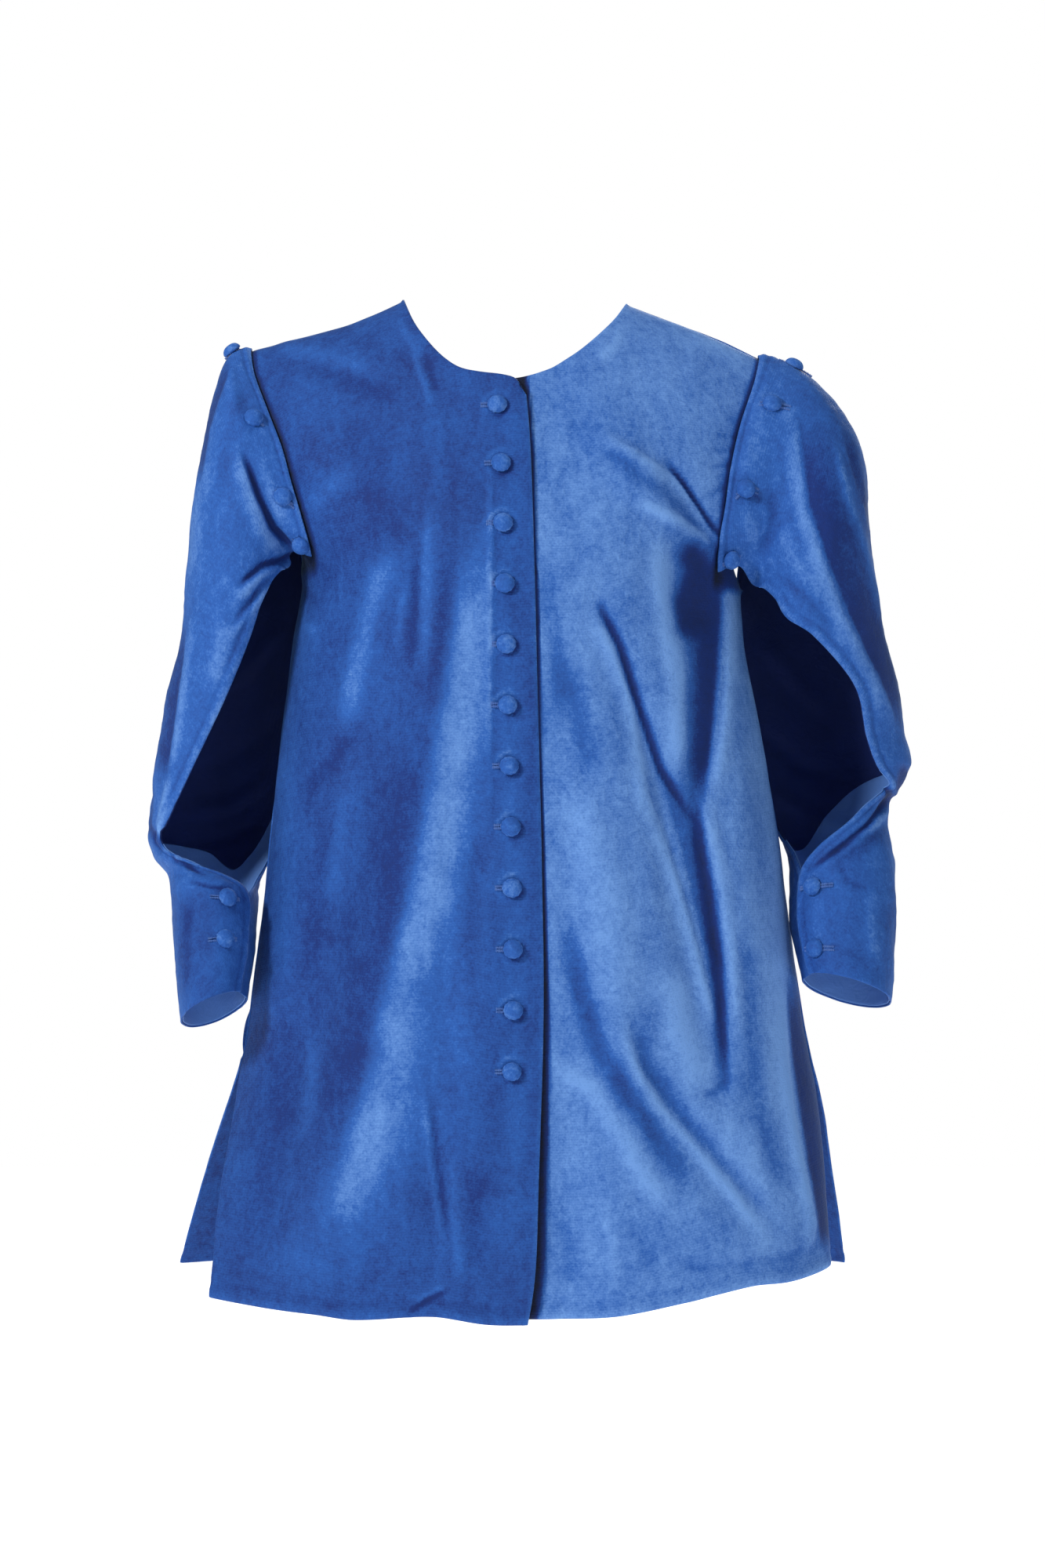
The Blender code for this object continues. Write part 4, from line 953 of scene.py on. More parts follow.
def nap_group():
    """Crushed velvet: a mottled nap in three blues, darkening towards a painted shade colour where its
    tone is below zero, with its roughness and its pile's height.
    """
    tree, given, gives = node_tree(
        "Velvet Nap", "ShaderNodeTree",
        (
            ("Deep", "NodeSocketColor", (0.0, 0.0, 0.1, 1.0)),
            ("Mid", "NodeSocketColor", (0.0, 0.1, 0.4, 1.0)),
            ("Bright", "NodeSocketColor", (0.2, 0.3, 0.7, 1.0)),
            ("Tone", "NodeSocketFloat", 0.4),
            ("Crush", "NodeSocketFloat", 0.5),
            ("Rib", "NodeSocketFloat", 0.06),
        ),
        EFFECT_OUTPUTS,
    )
    where = place(tree, "ShaderNodeTexCoord").outputs["Object"]
    broad = noise(tree, where, 22.0, 4.0, 0.6)
    slanted = place(
        tree, "ShaderNodeMapping",
        {"Vector": where, "Rotation": (0.0, 0.3, 0.0), "Scale": (1.0, 1.0, 0.4)},
    ).outputs[0]
    streaks = noise(tree, slanted, 52.0, 5.0, 0.9)
    mottle = noise(tree, where, 190.0, 6.0, 0.5)
    pile = noise(tree, where, 620.0, 4.0)
    laid_out = place(tree, "ShaderNodeUVMap", uv_map="flat_cut").outputs[0]
    rib = place(
        tree, "ShaderNodeTexWave",
        {"Vector": laid_out, "Scale": 160.0, "Distortion": 1.5, "Detail": 1.0, "Detail Scale": 2.0},
        bands_direction="Y",
    ).outputs["Fac"]
    rib = times(tree, math_node(tree, "SUBTRACT", rib, 0.5), given.outputs["Rib"])
    crushed = times(tree, broad, 0.6)
    crushed = add(tree, crushed, times(tree, streaks, 0.6))
    crushed = add(tree, crushed, times(tree, mottle, 0.75))
    tone = times(tree, crushed, given.outputs["Crush"])
    tone = add(tree, tone, given.outputs["Tone"])
    tone = add(tree, tone, rib)
    tone = add(tree, tone, times(tree, pile, 0.5))
    low = clamp(tree, times(tree, tone, 2.0))
    over = math_node(tree, "SUBTRACT", times(tree, tone, 2.0), 1.0)
    high = clamp(tree, over)
    colour = blend_colour(tree, low, given.outputs["Deep"], given.outputs["Mid"])
    colour = blend_colour(tree, high, colour, given.outputs["Bright"])
    # Below zero the tone darkens the velvet towards the darkest painted shade, for shaded troughs and
    # shadows
    lit = clamp(tree, add(tree, tone, 1.0))
    colour = blend_colour(tree, lit, DARKEST_PAINTED_SHADE, colour)
    rough = add(tree, times(tree, crushed, 0.25), 0.78)
    height = add(tree, times(tree, mottle, 0.8), rib)
    height = add(tree, height, times(tree, pile, 0.5))
    return end_effect(tree, gives, colour, rough, height)


def weave_group():
    """Plain woven cloth: fine crossed threads over soft cloudy wear."""
    tree, given, gives = node_tree(
        "Plain Weave", "ShaderNodeTree",
        (
            ("Dark", "NodeSocketColor", (0.0, 0.0, 0.05, 1.0)),
            ("Light", "NodeSocketColor", (0.1, 0.2, 0.5, 1.0)),
            ("Threads", "NodeSocketFloat", 500.0),
            ("Wear", "NodeSocketFloat", 0.5),
        ),
        EFFECT_OUTPUTS,
    )
    laid_out = place(tree, "ShaderNodeUVMap", uv_map="flat_cut").outputs[0]
    where = place(tree, "ShaderNodeTexCoord").outputs["Object"]
    threads = []
    for direction in ("X", "Y"):
        threads.append(
            place(
                tree, "ShaderNodeTexWave",
                {"Vector": laid_out, "Scale": given.outputs["Threads"], "Distortion": 0.6},
                bands_direction=direction,
            ).outputs["Fac"]
        )
    woven = times(tree, threads[0], threads[1])
    cloudy = noise(tree, where, 24.0, 4.0, 0.6)
    creased = noise(tree, where, 120.0, 3.0, 1.5)
    share = times(tree, cloudy, given.outputs["Wear"])
    share = add(tree, share, times(tree, woven, 0.3))
    share = add(tree, share, 0.35)
    share = clamp(tree, share)
    colour = blend_colour(tree, share, given.outputs["Dark"], given.outputs["Light"])
    rough = add(tree, times(tree, cloudy, 0.2), 0.62)
    height = add(tree, woven, times(tree, creased, 2.0))
    return end_effect(tree, gives, colour, rough, height)


def new_material(name):
    material = bpy.data.materials.new(name)
    material.use_nodes = True
    return material, material.node_tree, material.node_tree.nodes["Principled BSDF"]


def finish_material(tree, shader, effect, bump, sheen, tint, sheen_rough):
    tree.links.new(effect.outputs["Color"], shader.inputs["Base Color"])
    tree.links.new(effect.outputs["Roughness"], shader.inputs["Roughness"])
    raised = place(
        tree, "ShaderNodeBump",
        {"Height": effect.outputs["Height"], "Distance": bump, "Strength": 1.0},
    )
    tree.links.new(raised.outputs["Normal"], shader.inputs["Normal"])
    shader.inputs["Sheen Weight"].default_value = sheen
    shader.inputs["Sheen Tint"].default_value = tint
    shader.inputs["Sheen Roughness"].default_value = sheen_rough
    shader.inputs["Specular IOR Level"].default_value = 0.25


def velvet(name, lift, crush):
    """Blue velvet; lift lightens it all over, and crush says how mottled its nap is."""
    cloth = bpy.context.scene.surcoat_cloth
    material, tree, shader = new_material(name)
    group = bpy.data.node_groups.get("Velvet Nap") or nap_group()
    tone = place(tree, "ShaderNodeAttribute", attribute_name="tone").outputs["Fac"]
    lifted = add(tree, tone, lift)
    effect = place(tree, "ShaderNodeGroup", node_tree=group)
    effect.inputs["Deep"].default_value = tuple(cloth.deep_blue) + (1.0,)
    effect.inputs["Mid"].default_value = tuple(cloth.mid_blue) + (1.0,)
    effect.inputs["Bright"].default_value = tuple(cloth.bright_blue) + (1.0,)
    effect.inputs["Crush"].default_value = crush
    tree.links.new(lifted, effect.inputs["Tone"])
    finish_material(tree, shader, effect, 0.0008, 0.12, (0.3, 0.6, 1.0, 1.0), 0.4)
    return material


def plain_cloth(name, dark, light, threads, sheen):
    material, tree, shader = new_material(name)
    group = bpy.data.node_groups.get("Plain Weave") or weave_group()
    effect = place(tree, "ShaderNodeGroup", node_tree=group)
    effect.inputs["Dark"].default_value = tuple(dark) + (1.0,)
    effect.inputs["Light"].default_value = tuple(light) + (1.0,)
    effect.inputs["Threads"].default_value = threads
    finish_material(tree, shader, effect, 0.0003, sheen, (0.5, 0.65, 1.0, 1.0), 0.4)
    return material


def thread_material():
    material = bpy.data.materials.get("buttonhole_thread")
    if material:
        return material
    material, tree, shader = new_material("buttonhole_thread")
    where = place(tree, "ShaderNodeTexCoord").outputs["Object"]
    worn = clamp(tree, add(tree, noise(tree, where, 260.0, 3.0), 0.5))
    colour = blend_colour(tree, worn, (0.02, 0.07, 0.28, 1.0), (0.08, 0.18, 0.48, 1.0))
    tree.links.new(colour, shader.inputs["Base Color"])
    shader.inputs["Roughness"].default_value = 0.7
    return material


# The coat's cloth


def panel_grid(columns, rows):
    low_rows = round(rows * UNDERARM_UP)
    low = np.linspace(0, UNDERARM_UP, low_rows, endpoint=False)
    high = np.linspace(UNDERARM_UP, 1, rows - low_rows)
    return np.meshgrid(np.linspace(0, 1, columns), np.concatenate((low, high)))


def arc_from_edges(points):
    """How far each point of a grid lies along its row from the row's start and from its end."""
    steps = np.linalg.norm(np.diff(points, axis=1, prepend=points[:, :1]), axis=2)
    run = np.cumsum(steps, axis=1)
    return run, run[:, -1:] - run


def bump_at(distance, centre, width):
    return np.exp(-(((distance - centre) / width) ** 2))


def body_surface_detail(side, face, points, across, up):
    """Creases, seam draw, hem and soft waves over the frame's own form: their rise, and their tone with
    painted shade and highlight.
    """
    if face == "front":
        x, z = drawn_place(points)
        rise, tone = drawn_creases(side.drawn, x, z)
    else:
        x, z = points[..., 0], points[..., 2]
        rise, tone = drawn_creases(DRAWN_BACK, x, z)
    rise = rise + 0.45 * ripple(x, z * 0.5, 11 if face == "front" else 12, 46.0)
    rise = rise + 0.2 * ripple(x, z * 0.6, 21, 17.0)
    to_side = (1 - across) * 200.0
    sewn = smoothstep(VENT_TOP - 20, VENT_TOP + 30, points[..., 2])
    rise = rise - 0.9 * bump_at(to_side, 0.0, 5.0) * sewn
    to_top = (1 - up) * 700.0
    rise = rise - 0.9 * bump_at(to_top, 0.0, 4.0) * (across > 0.5)
    from_hem = up * 1050.0
    rise = rise + 0.6 * bump_at(from_hem, 6.0, 4.0) - 0.5 * bump_at(from_hem, 14.0, 2.5)
    # Painted highlight on the hem's rolled edge, and painted shade in the groove above it
    tone = tone + 0.12 * bump_at(from_hem, 2.0, 3.0) - 0.10 * bump_at(from_hem, 14.0, 2.5)
    return rise, tone


def sleeve_shadow(side, points):
    """Painted shade on the body's cloth along the sleeve's edge, where the edge lies on it."""
    z = points[..., 2]
    edge = lookup(side.armhole, "z", "sleeve", z)
    gap = np.abs(points[..., 0]) - edge
    low = underarm(side)
    return bump_at(np.minimum(gap, 0.0), 0.0, 2.6) * smoothstep(low - 6, low + 6, z)


def closure_shadow(points):
    """Where the wearer's left front lies in the shade of the right front's edge."""
    z = points[..., 2]
    beyond = points[..., 0] - lookup(FRONT_EDGE, "z", "past", z)
    reach = 2.2 + 4.6 * smoothstep(-330, -740, z)
    return np.exp(-((np.maximum(beyond, 0.0) / reach) ** 4))


def button_dimples(points):
    """Cloth pulled in round each front button: its dip, and its scuffed rim painted lighter to the upper
    left and darker to the lower right, with a painted shadow crescent.
    """
    dip, scuff_and_shade = np.zeros(points.shape[:2]), np.zeros(points.shape[:2])
    for at, _ in front_button_places():
        reach = np.hypot(points[..., 0] - at[0], points[..., 2] - at[2])
        lower_right = (points[..., 0] - at[0] - (points[..., 2] - at[2])) / (reach + 1.0)
        dip -= DIMPLE_DEPTH * np.exp(-((reach / DIMPLE_REACH) ** 2))
        # A scuffed rim, painted lighter on the upper left where the light falls
        scuff_and_shade += (0.12 - 0.14 * lower_right) * bump_at(reach, SCUFF_AND_SHADE_AT, 2.2)
        # Painted shadow crescent below and right of each button
        scuff_and_shade -= 0.30 * np.maximum(lower_right, 0.0) * bump_at(reach, BUTTON_SHADE_AT, 1.2)
    return dip, scuff_and_shade


def build_front(side, cloth, material):
    across, up = panel_grid(cloth.columns, cloth.rows)
    points = half_panel(side, "front", across, up)
    normals = grid_normals(points, (0, -1, 0))
    rise, tone = body_surface_detail(side, "front", points, across, up)
    from_edge, _ = arc_from_edges(points)
    if side is RIGHT:
        dip, scuff_and_shade = button_dimples(points)
        rise = rise + dip + 0.5 * bump_at(from_edge, 2.5, 2.0)
        # A painted highlight along the front's edge
        # Painted scuff and shade round the buttons
        tone = tone + scuff_and_shade + 0.26 * bump_at(from_edge, 0.0, 1.8)
    else:
        tone = tone - CLOSURE_SHADE * closure_shadow(points)
    tone = tone - SLEEVE_SHADE * sleeve_shadow(side, points)
    points = points + normals * (rise * smoothstep(0.0, 0.02, across))[..., None]
    normals = grid_normals(points, (0, -1, 0))
    return cloth_wall("velvet_front_" + side.name, points, normals, cloth.wall, tone, material)


def build_back(cloth, material):
    halves = []
    for side in SIDES:
        across, up = panel_grid(cloth.columns, cloth.rows)
        halves.append(half_panel(side, "back", across, up))
    right, left = halves
    left[:, 0] = right[:, 0] = (left[:, 0] + right[:, 0]) / 2
    points = np.concatenate((right[:, :0:-1], left), axis=1)[:, ::2]
    across = np.concatenate((across[:, :0:-1], across), axis=1)[:, ::2]
    up = np.concatenate((up[:, :0:-1], up), axis=1)[:, ::2]
    normals = grid_normals(points, (0, 1, 0))
    rise, tone = body_surface_detail(RIGHT, "back", points, across, up)
    points = points + normals * rise[..., None]
    for side in SIDES:
        shade = SLEEVE_SHADE_BEHIND * sleeve_shadow(side, points)
        tone = tone - shade * (points[..., 0] * side.sign > 0)
    normals = grid_normals(points, (0, 1, 0))
    return cloth_wall("velvet_back", points, normals, cloth.wall, tone, material)


def sleeve_surface(side, first, last, columns, rows):
    """A grid of sleeve points between two stations, which may differ round the sleeve."""
    across, along = np.meshgrid(np.linspace(0, 1, columns), np.linspace(0, 1, rows))
    station = first(across) + (last(across) - first(across)) * along
    points = sleeve_points(side, across, station)
    return points, across, station


def sleeve_detail(side, points, normals):
    """Creases of the sleeve with their painted shade and highlight, each drawing showing on the side of
    the arm that it is drawn from.
    """
    x, y, z = points[..., 0], points[..., 1], points[..., 2]
    shift = 12.0 if side is LEFT else 0.0
    outer = smoothstep(0.4, 0.85, normals[..., 0] * side.sign)
    behind = smoothstep(0.15, 0.7, normals[..., 1])
    front = smoothstep(0.35, -0.15, normals[..., 1])
    views = (
        (drawn_creases(side.drawn_sleeve, *drawn_place(points)), front),
        (drawn_creases(DRAWN_SLEEVE_SIDE, y, z + shift), outer * (1 - front)),
        (drawn_creases(DRAWN_SLEEVE_BEHIND, np.abs(x) - shift, z + shift), behind),
    )
    rise = sum(view[0] * share for view, share in views)
    tone = sum(view[1] * share for view, share in views)
    rise = rise + 0.6 * ripple(x + y, z, 31 if side is RIGHT else 32, 42.0)
    rise = rise + 0.22 * ripple(x - y, z, 33, 15.0)
    return rise, tone


def sleeve_edges(points, station):
    """The rolled edge round the armhole and down both sides of the slit: its rise and tone, a painted
    highlight on the roll and a painted shade line beside it.
    """
    down, _ = arc_from_edges(points.transpose(1, 0, 2))
    down = down.T
    first, last = arc_from_edges(points)
    beside = np.minimum(first, last) + 30 * smoothstep(3.0, 1.5, station)
    rise, tone = 0.0, 0.0
    for distance in (down, beside):
        rise = rise + 0.6 * bump_at(distance, 4.0, 2.4) - 0.5 * bump_at(distance, 8.5, 1.8)
        # Painted highlight on the rolled edge, painted shade line beside it
        tone = tone + 0.12 * bump_at(distance, 1.5, 3.0) - 0.16 * bump_at(distance, 8.5, 1.6)
    return rise, tone


def build_sleeve(side, cloth, material):
    last = len(side.rings) + 1
    points, _, station = sleeve_surface(
        side, lambda a: 0 * a, lambda a: 0 * a + last, cloth.sleeve_columns, cloth.sleeve_rows
    )
    outward = (side.sign, 0, 0)
    normals = grid_normals(points, outward)
    rise, tone = sleeve_detail(side, points, normals)
    edge_rise, edge_tone = sleeve_edges(points, station)
    rise = rise * smoothstep(0.0, 0.6, station) + edge_rise
    points = points + normals * rise[..., None]
    return cloth_wall(
        "velvet_sleeve_" + side.name, points, grid_normals(points, outward), cloth.sleeve_wall,
        tone + edge_tone, material,
    )


def build_inner(side, kind, cloth, material):
    """The sleeve's lining, or the facing that takes over from it near the cuff."""
    last = len(side.rings) + 1

    def border(across):
        return lookup(FACING_TOP, "round", side.name, across)

    if kind == "sleeve_lining":
        limits = (lambda a: 0 * a + LINING_START, border)
    else:
        limits = (lambda a: border(a) + 0.05, lambda a: 0 * a + last - 0.04)
    points, across, station = sleeve_surface(side, *limits, *INNER_GRID)
    outward = (side.sign, 0, 0)
    normals = grid_normals(points, outward)
    relief, _ = sleeve_detail(side, points, normals)
    relief = relief * smoothstep(0.0, 0.6, station)
    puckers = 0.35 * np.minimum(ripple(across * 300, station * 30, 41, 26.0), 0)
    depth = cloth.sleeve_wall + INNER_GAP
    points = points + normals * (relief + puckers - depth)[..., None]
    return cloth_wall(
        kind + "_cloth_" + side.name, points, grid_normals(points, outward), INNER_WALL,
        0 * relief, material,
    )


# Buttons and buttonholes


def front_button_places():
    places = []
    for number in range(FRONT_BUTTONS):
        z = np.array(FRONT_BUTTON_TOP - FRONT_BUTTON_PITCH * number)
        out = BUTTON_FROM_EDGE + front_edge(RIGHT, z)
        places.append((body_point(RIGHT, "front", out, z), body_normal(RIGHT, "front", out, z)))
    return places


def sleeve_button_places(side):
    step = 0.02
    places = []
    for button in side.buttons:
        across = station_across(side, button.turn, button.station)
        grid = [
            sleeve_points(side, np.array([across + a]), np.array([button.station + s]))[0]
            for a, s in ((0, 0), (step, 0), (-step, 0), (0, step), (0, -step))
        ]
        normal = unit(np.cross(grid[3] - grid[4], grid[1] - grid[2])) * side.sign
        places.append((grid[0], normal))
    return places


def covered_button(trim):
    """One covered button: a full dome with cloth gathered in under its rim."""
    radius, rise = trim.button_width / 2, trim.button_rise
    profile = (
        (0.00, 1.00), (0.22, 0.985), (0.44, 0.93), (0.64, 0.82), (0.80, 0.66), (0.92, 0.46),
        (0.985, 0.28), (1.00, 0.14), (0.96, 0.03), (0.82, -0.04), (0.50, -0.06),
    )
    sides = 28
    vertices, faces = [(0.0, 0.0, rise * MM)], []
    for reach, height in profile[1:]:
        gather = smoothstep(0.9, 0.1, height)
        for step in range(sides):
            angle = 2 * math.pi * step / sides
            pleat = 1 - 0.035 * gather * (1 + math.cos(angle * trim.pleats))
            lump = 1 + 0.02 * math.cos(2 * angle + 0.6)
            r = radius * reach * pleat * lump
            vertices.append((r * math.cos(angle) * MM, r * math.sin(angle) * MM, rise * height * MM))
    for step in range(sides):
        after = (step + 1) % sides
        faces.append((0, 1 + step, 1 + after))
        for ring in range(len(profile) - 2):
            low, high = 1 + ring * sides, 1 + (ring + 1) * sides
            faces.append((low + step, high + step, high + after, low + after))
    last = 1 + (len(profile) - 2) * sides
    faces.append(tuple(last + step for step in range(sides))[::-1])
    mesh = bpy.data.meshes.new("covered_button")
    mesh.from_pydata(vertices, [], faces)
    mesh.shade_smooth()
    return bpy.data.objects.new("covered_button", mesh)


def end_copies(tree, given, gives, copies):
    """Make copies real, give them the tree's material and hand them on."""
    solid = place(tree, "GeometryNodeRealizeInstances", {"Geometry": copies}).outputs[0]
    solid = place(
        tree, "GeometryNodeSetMaterial", {"Geometry": solid, "Material": given.outputs["Material"]}
    ).outputs[0]
    tree.links.new(solid, gives.inputs[0])
    return tree


def scatter_tree():
    """Sets a copy of an object on every point, turned to the point's facing."""
    tree, given, gives = node_tree(
        "Sewn Buttons", "GeometryNodeTree",
        (
            ("Geometry", "NodeSocketGeometry", None),
            ("Button", "NodeSocketObject", None),
            ("Uneven", "NodeSocketFloat", 0.06),
            ("Seed", "NodeSocketInt", 3),
            ("Material", "NodeSocketMaterial", None),
        ),
        (("Geometry", "NodeSocketGeometry"),),
    )
    facing = place(
        tree, "GeometryNodeInputNamedAttribute", {"Name": "facing"}, data_type="FLOAT_VECTOR"
    ).outputs[0]
    turned = place(
        tree, "FunctionNodeAlignRotationToVector", {"Vector": facing}, axis="Z"
    ).outputs[0]
    low = math_node(tree, "SUBTRACT", 1.0, given.outputs["Uneven"])
    size = place(
        tree, "FunctionNodeRandomValue",
        {2: low, 3: 1.0, "Seed": given.outputs["Seed"]}, data_type="FLOAT",
    ).outputs[1]
    shape = place(tree, "GeometryNodeObjectInfo", {"Object": given.outputs["Button"]})
    copies = place(
        tree, "GeometryNodeInstanceOnPoints",
        {
            "Points": given.outputs["Geometry"],
            "Instance": shape.outputs["Geometry"],
            "Rotation": turned,
            "Scale": size,
        },
    ).outputs[0]
    return end_copies(tree, given, gives, copies)


def stitch_tree():
    """Wraps thread over a run: small crosswise stitches, packed side by side along a curve."""
    tree, given, gives = node_tree(
        "Buttonhole Stitch", "GeometryNodeTree",
        (
            ("Geometry", "NodeSocketGeometry", None),
            ("Pitch", "NodeSocketFloat", 0.0009),
            ("Width", "NodeSocketFloat", 0.0028),
            ("Thread", "NodeSocketFloat", 0.0010),
            ("Uneven", "NodeSocketFloat", 0.3),
            ("Seed", "NodeSocketInt", 5),
            ("Material", "NodeSocketMaterial", None),
        ),
        (("Geometry", "NodeSocketGeometry"),),
    )
    run = place(
        tree, "GeometryNodeResampleCurve",
        {"Curve": given.outputs["Geometry"], "Length": given.outputs["Pitch"]}, mode="LENGTH",
    ).outputs[0]
    along = place(tree, "GeometryNodeInputTangent").outputs[0]
    turned = place(
        tree, "FunctionNodeAlignRotationToVector", {"Vector": along}, axis="X"
    ).outputs[0]
    low = math_node(tree, "SUBTRACT", 1.0, given.outputs["Uneven"])
    size = place(
        tree, "FunctionNodeRandomValue",
        {2: low, 3: 1.15, "Seed": given.outputs["Seed"]}, data_type="FLOAT",
    ).outputs[1]
    length = times(tree, given.outputs["Width"], size)
    scale = place(
        tree, "ShaderNodeCombineXYZ",
        {0: given.outputs["Thread"], 1: given.outputs["Thread"], 2: length},
    ).outputs[0]
    bead = place(
        tree, "GeometryNodeMeshIcoSphere", {"Radius": 0.5, "Subdivisions": 2}
    ).outputs[0]
    copies = place(
        tree, "GeometryNodeInstanceOnPoints",
        {"Points": run, "Instance": bead, "Rotation": turned, "Scale": scale},
    ).outputs[0]
    return end_copies(tree, given, gives, copies)


def run_tree(piece, tree, values):
    """Put a node tree on a piece, set its inputs by name, and keep the result as a plain mesh."""
    modifier = piece.modifiers.new(tree.name, "NODES")
    modifier.node_group = tree
    for item in tree.interface.items_tree:
        if item.item_type == "SOCKET" and item.in_out == "INPUT" and item.name in values:
            modifier[item.identifier] = values[item.name]
    return plain_mesh(piece)


def sew_buttons(name, places, trim, button, material):
    mesh = bpy.data.meshes.new(name)
    points = [tuple((at + facing * trim.button_lift) * MM) for at, facing in places]
    mesh.from_pydata(points, [], [])
    facings = np.array([facing for _, facing in places]).ravel()
    mesh.attributes.new("facing", "FLOAT_VECTOR", "POINT").data.foreach_set("vector", facings)
    tree = bpy.data.node_groups.get("Sewn Buttons") or scatter_tree()
    return run_tree(add_piece(name, mesh), tree, {"Button": button, "Material": material})


def front_hole_runs():
    """Each front buttonhole lies level, from under its button out towards the side."""
    runs = []
    for number in range(FRONT_BUTTONS):
        z = FRONT_BUTTON_TOP - FRONT_BUTTON_PITCH * number
        start = BUTTON_FROM_EDGE + float(front_edge(RIGHT, np.array(z)))
        for drop in (1.1, -1.1):
            outs = np.linspace(start - 5.0, start + 12.5, 9)
            heights = z + drop + 0 * outs
            at = body_point(RIGHT, "front", outs, heights)
            runs.append(at + body_normal(RIGHT, "front", outs, heights) * 0.5)
    return runs


def sleeve_hole_runs(side):
    """Each sleeve buttonhole runs in from its edge, under its button."""
    runs = []
    for button in side.buttons:
        across = station_across(side, button.turn, button.station)
        cuff = button.name.startswith("cuff")
        for shift in (-1, 1):
            if cuff:
                places = np.linspace(across - 0.045, across + 0.06, 9)
                stations = np.full(9, button.station + shift * 0.025)
            else:
                places = np.full(9, across + shift * 0.004)
                stations = button.station + np.linspace(-0.35, 0.4, 9)
            stations = np.clip(stations, 0.04, len(side.rings) + 0.97)
            grid = sleeve_points(side, places, stations)
            beyond = sleeve_points(side, places + 0.01, stations)
            further = sleeve_points(side, places, np.clip(stations + 0.02, 0, len(side.rings) + 1))
            normal = unit(np.cross(further - grid, beyond - grid)) * side.sign
            runs.append(grid + normal * 0.6)
    return runs


def stitch_runs(name, runs, trim):
    curve = bpy.data.curves.new(name, "CURVE")
    curve.dimensions = "3D"
    for run in runs:
        spline = curve.splines.new("POLY")
        spline.points.add(len(run) - 1)
        for point, at in zip(spline.points, run):
            point.co = (at[0] * MM, at[1] * MM, at[2] * MM, 1.0)
    piece = add_piece(name, curve)
    tree = bpy.data.node_groups.get("Buttonhole Stitch") or stitch_tree()
    values = {"Pitch": trim.stitch_pitch * MM, "Width": trim.stitch_width * MM,
              "Material": thread_material()}
    return run_tree(piece, tree, values)


# Settings and operators


class SurcoatCloth(bpy.types.PropertyGroup):
    wall: bpy.props.FloatProperty(
        name="Body Cloth", description="Thickness of the body's velvet with its backing, in mm",
        default=2.0, min=0.5, max=4.0,
    )
    sleeve_wall: bpy.props.FloatProperty(
        name="Sleeve Cloth", description="Thickness of the sleeves' velvet, in mm",
        default=1.2, min=0.4, max=3.0,
    )
    columns: bpy.props.IntProperty(
        name="Panel Columns", description="Grid columns across each half of the body",
        default=120, min=20, max=160,
    )
    rows: bpy.props.IntProperty(
        name="Panel Rows", description="Grid rows from the hem to the shoulder",
        default=270, min=40, max=320,
    )
    sleeve_columns: bpy.props.IntProperty(
        name="Sleeve Columns", description="Grid columns round a sleeve",
        default=120, min=20, max=160,
    )
    sleeve_rows: bpy.props.IntProperty(
        name="Sleeve Rows", description="Grid rows from a sleeve's head to its hem",
        default=230, min=40, max=300,
    )
    deep_blue: bpy.props.FloatVectorProperty(
        name="Deep Blue", description="The velvet where its nap lies away from the light",
        subtype="COLOR", default=(0.003, 0.023, 0.155), min=0.0, max=1.0,
    )
    mid_blue: bpy.props.FloatVectorProperty(
        name="Mid Blue", description="The velvet's main colour",
        subtype="COLOR", default=(0.018, 0.096, 0.375), min=0.0, max=1.0,
    )
    bright_blue: bpy.props.FloatVectorProperty(
        name="Bright Blue", description="The velvet where its nap catches the light",
        subtype="COLOR", default=(0.130, 0.280, 0.620), min=0.0, max=1.0,
    )
    # Brighter than the facing's own blue: painted light for the cuffs' shaded insides
    facing_blue: bpy.props.FloatVectorProperty(
        name="Facing Blue", description="The smooth facing inside the cuffs",
        subtype="COLOR", default=(0.13, 0.31, 0.80), min=0.0, max=1.0,
    )
    lining_navy: bpy.props.FloatVectorProperty(
        name="Lining Navy", description="The lining inside the sleeves",
        subtype="COLOR", default=(0.010, 0.030, 0.190), min=0.0, max=1.0,
    )


class SurcoatTrim(bpy.types.PropertyGroup):
    button_width: bpy.props.FloatProperty(
        name="Button Width", description="Across a covered button, in mm",
        default=15.6, min=8.0, max=30.0,
    )
    button_rise: bpy.props.FloatProperty(
        name="Button Rise", description="How far a button's dome stands up, in mm",
        default=6.4, min=2.0, max=12.0,
    )
    button_lift: bpy.props.FloatProperty(
        name="Button Lift", description="How far a button's base stands off the cloth, in mm",
        default=0.5, min=0.0, max=3.0,
    )
    pleats: bpy.props.IntProperty(
        name="Button Gathers", description="Gathers in the cloth under a button's rim",
        default=11, min=4, max=24,
    )
    stitch_pitch: bpy.props.FloatProperty(
        name="Stitch Pitch", description="Distance between buttonhole stitches, in mm",
        default=0.95, min=0.4, max=3.0,
    )
    stitch_width: bpy.props.FloatProperty(
        name="Stitch Width", description="Length of one buttonhole stitch, in mm",
        default=2.3, min=0.8, max=6.0,
    )


class SurcoatStudio(bpy.types.PropertyGroup):
    lens: bpy.props.FloatProperty(
        name="Lens", description="Focal length of the camera, in mm on a 36 mm tall frame",
        default=72.0, min=20.0, max=200.0,
    )
    distance: bpy.props.FloatProperty(
        name="Camera Distance", description="From the camera to the coat's middle",
        default=2.5, min=0.5, max=10.0, unit="LENGTH",
    )
    key_power: bpy.props.FloatProperty(
        name="Key Light", description="Power of the main soft light, in watts",
        default=48.0, min=0.0, max=400.0,
    )
    sky: bpy.props.FloatProperty(
        name="White Surround", description="How strongly the white all round lights the coat",
        default=0.26, min=0.0, max=1.0,
    )


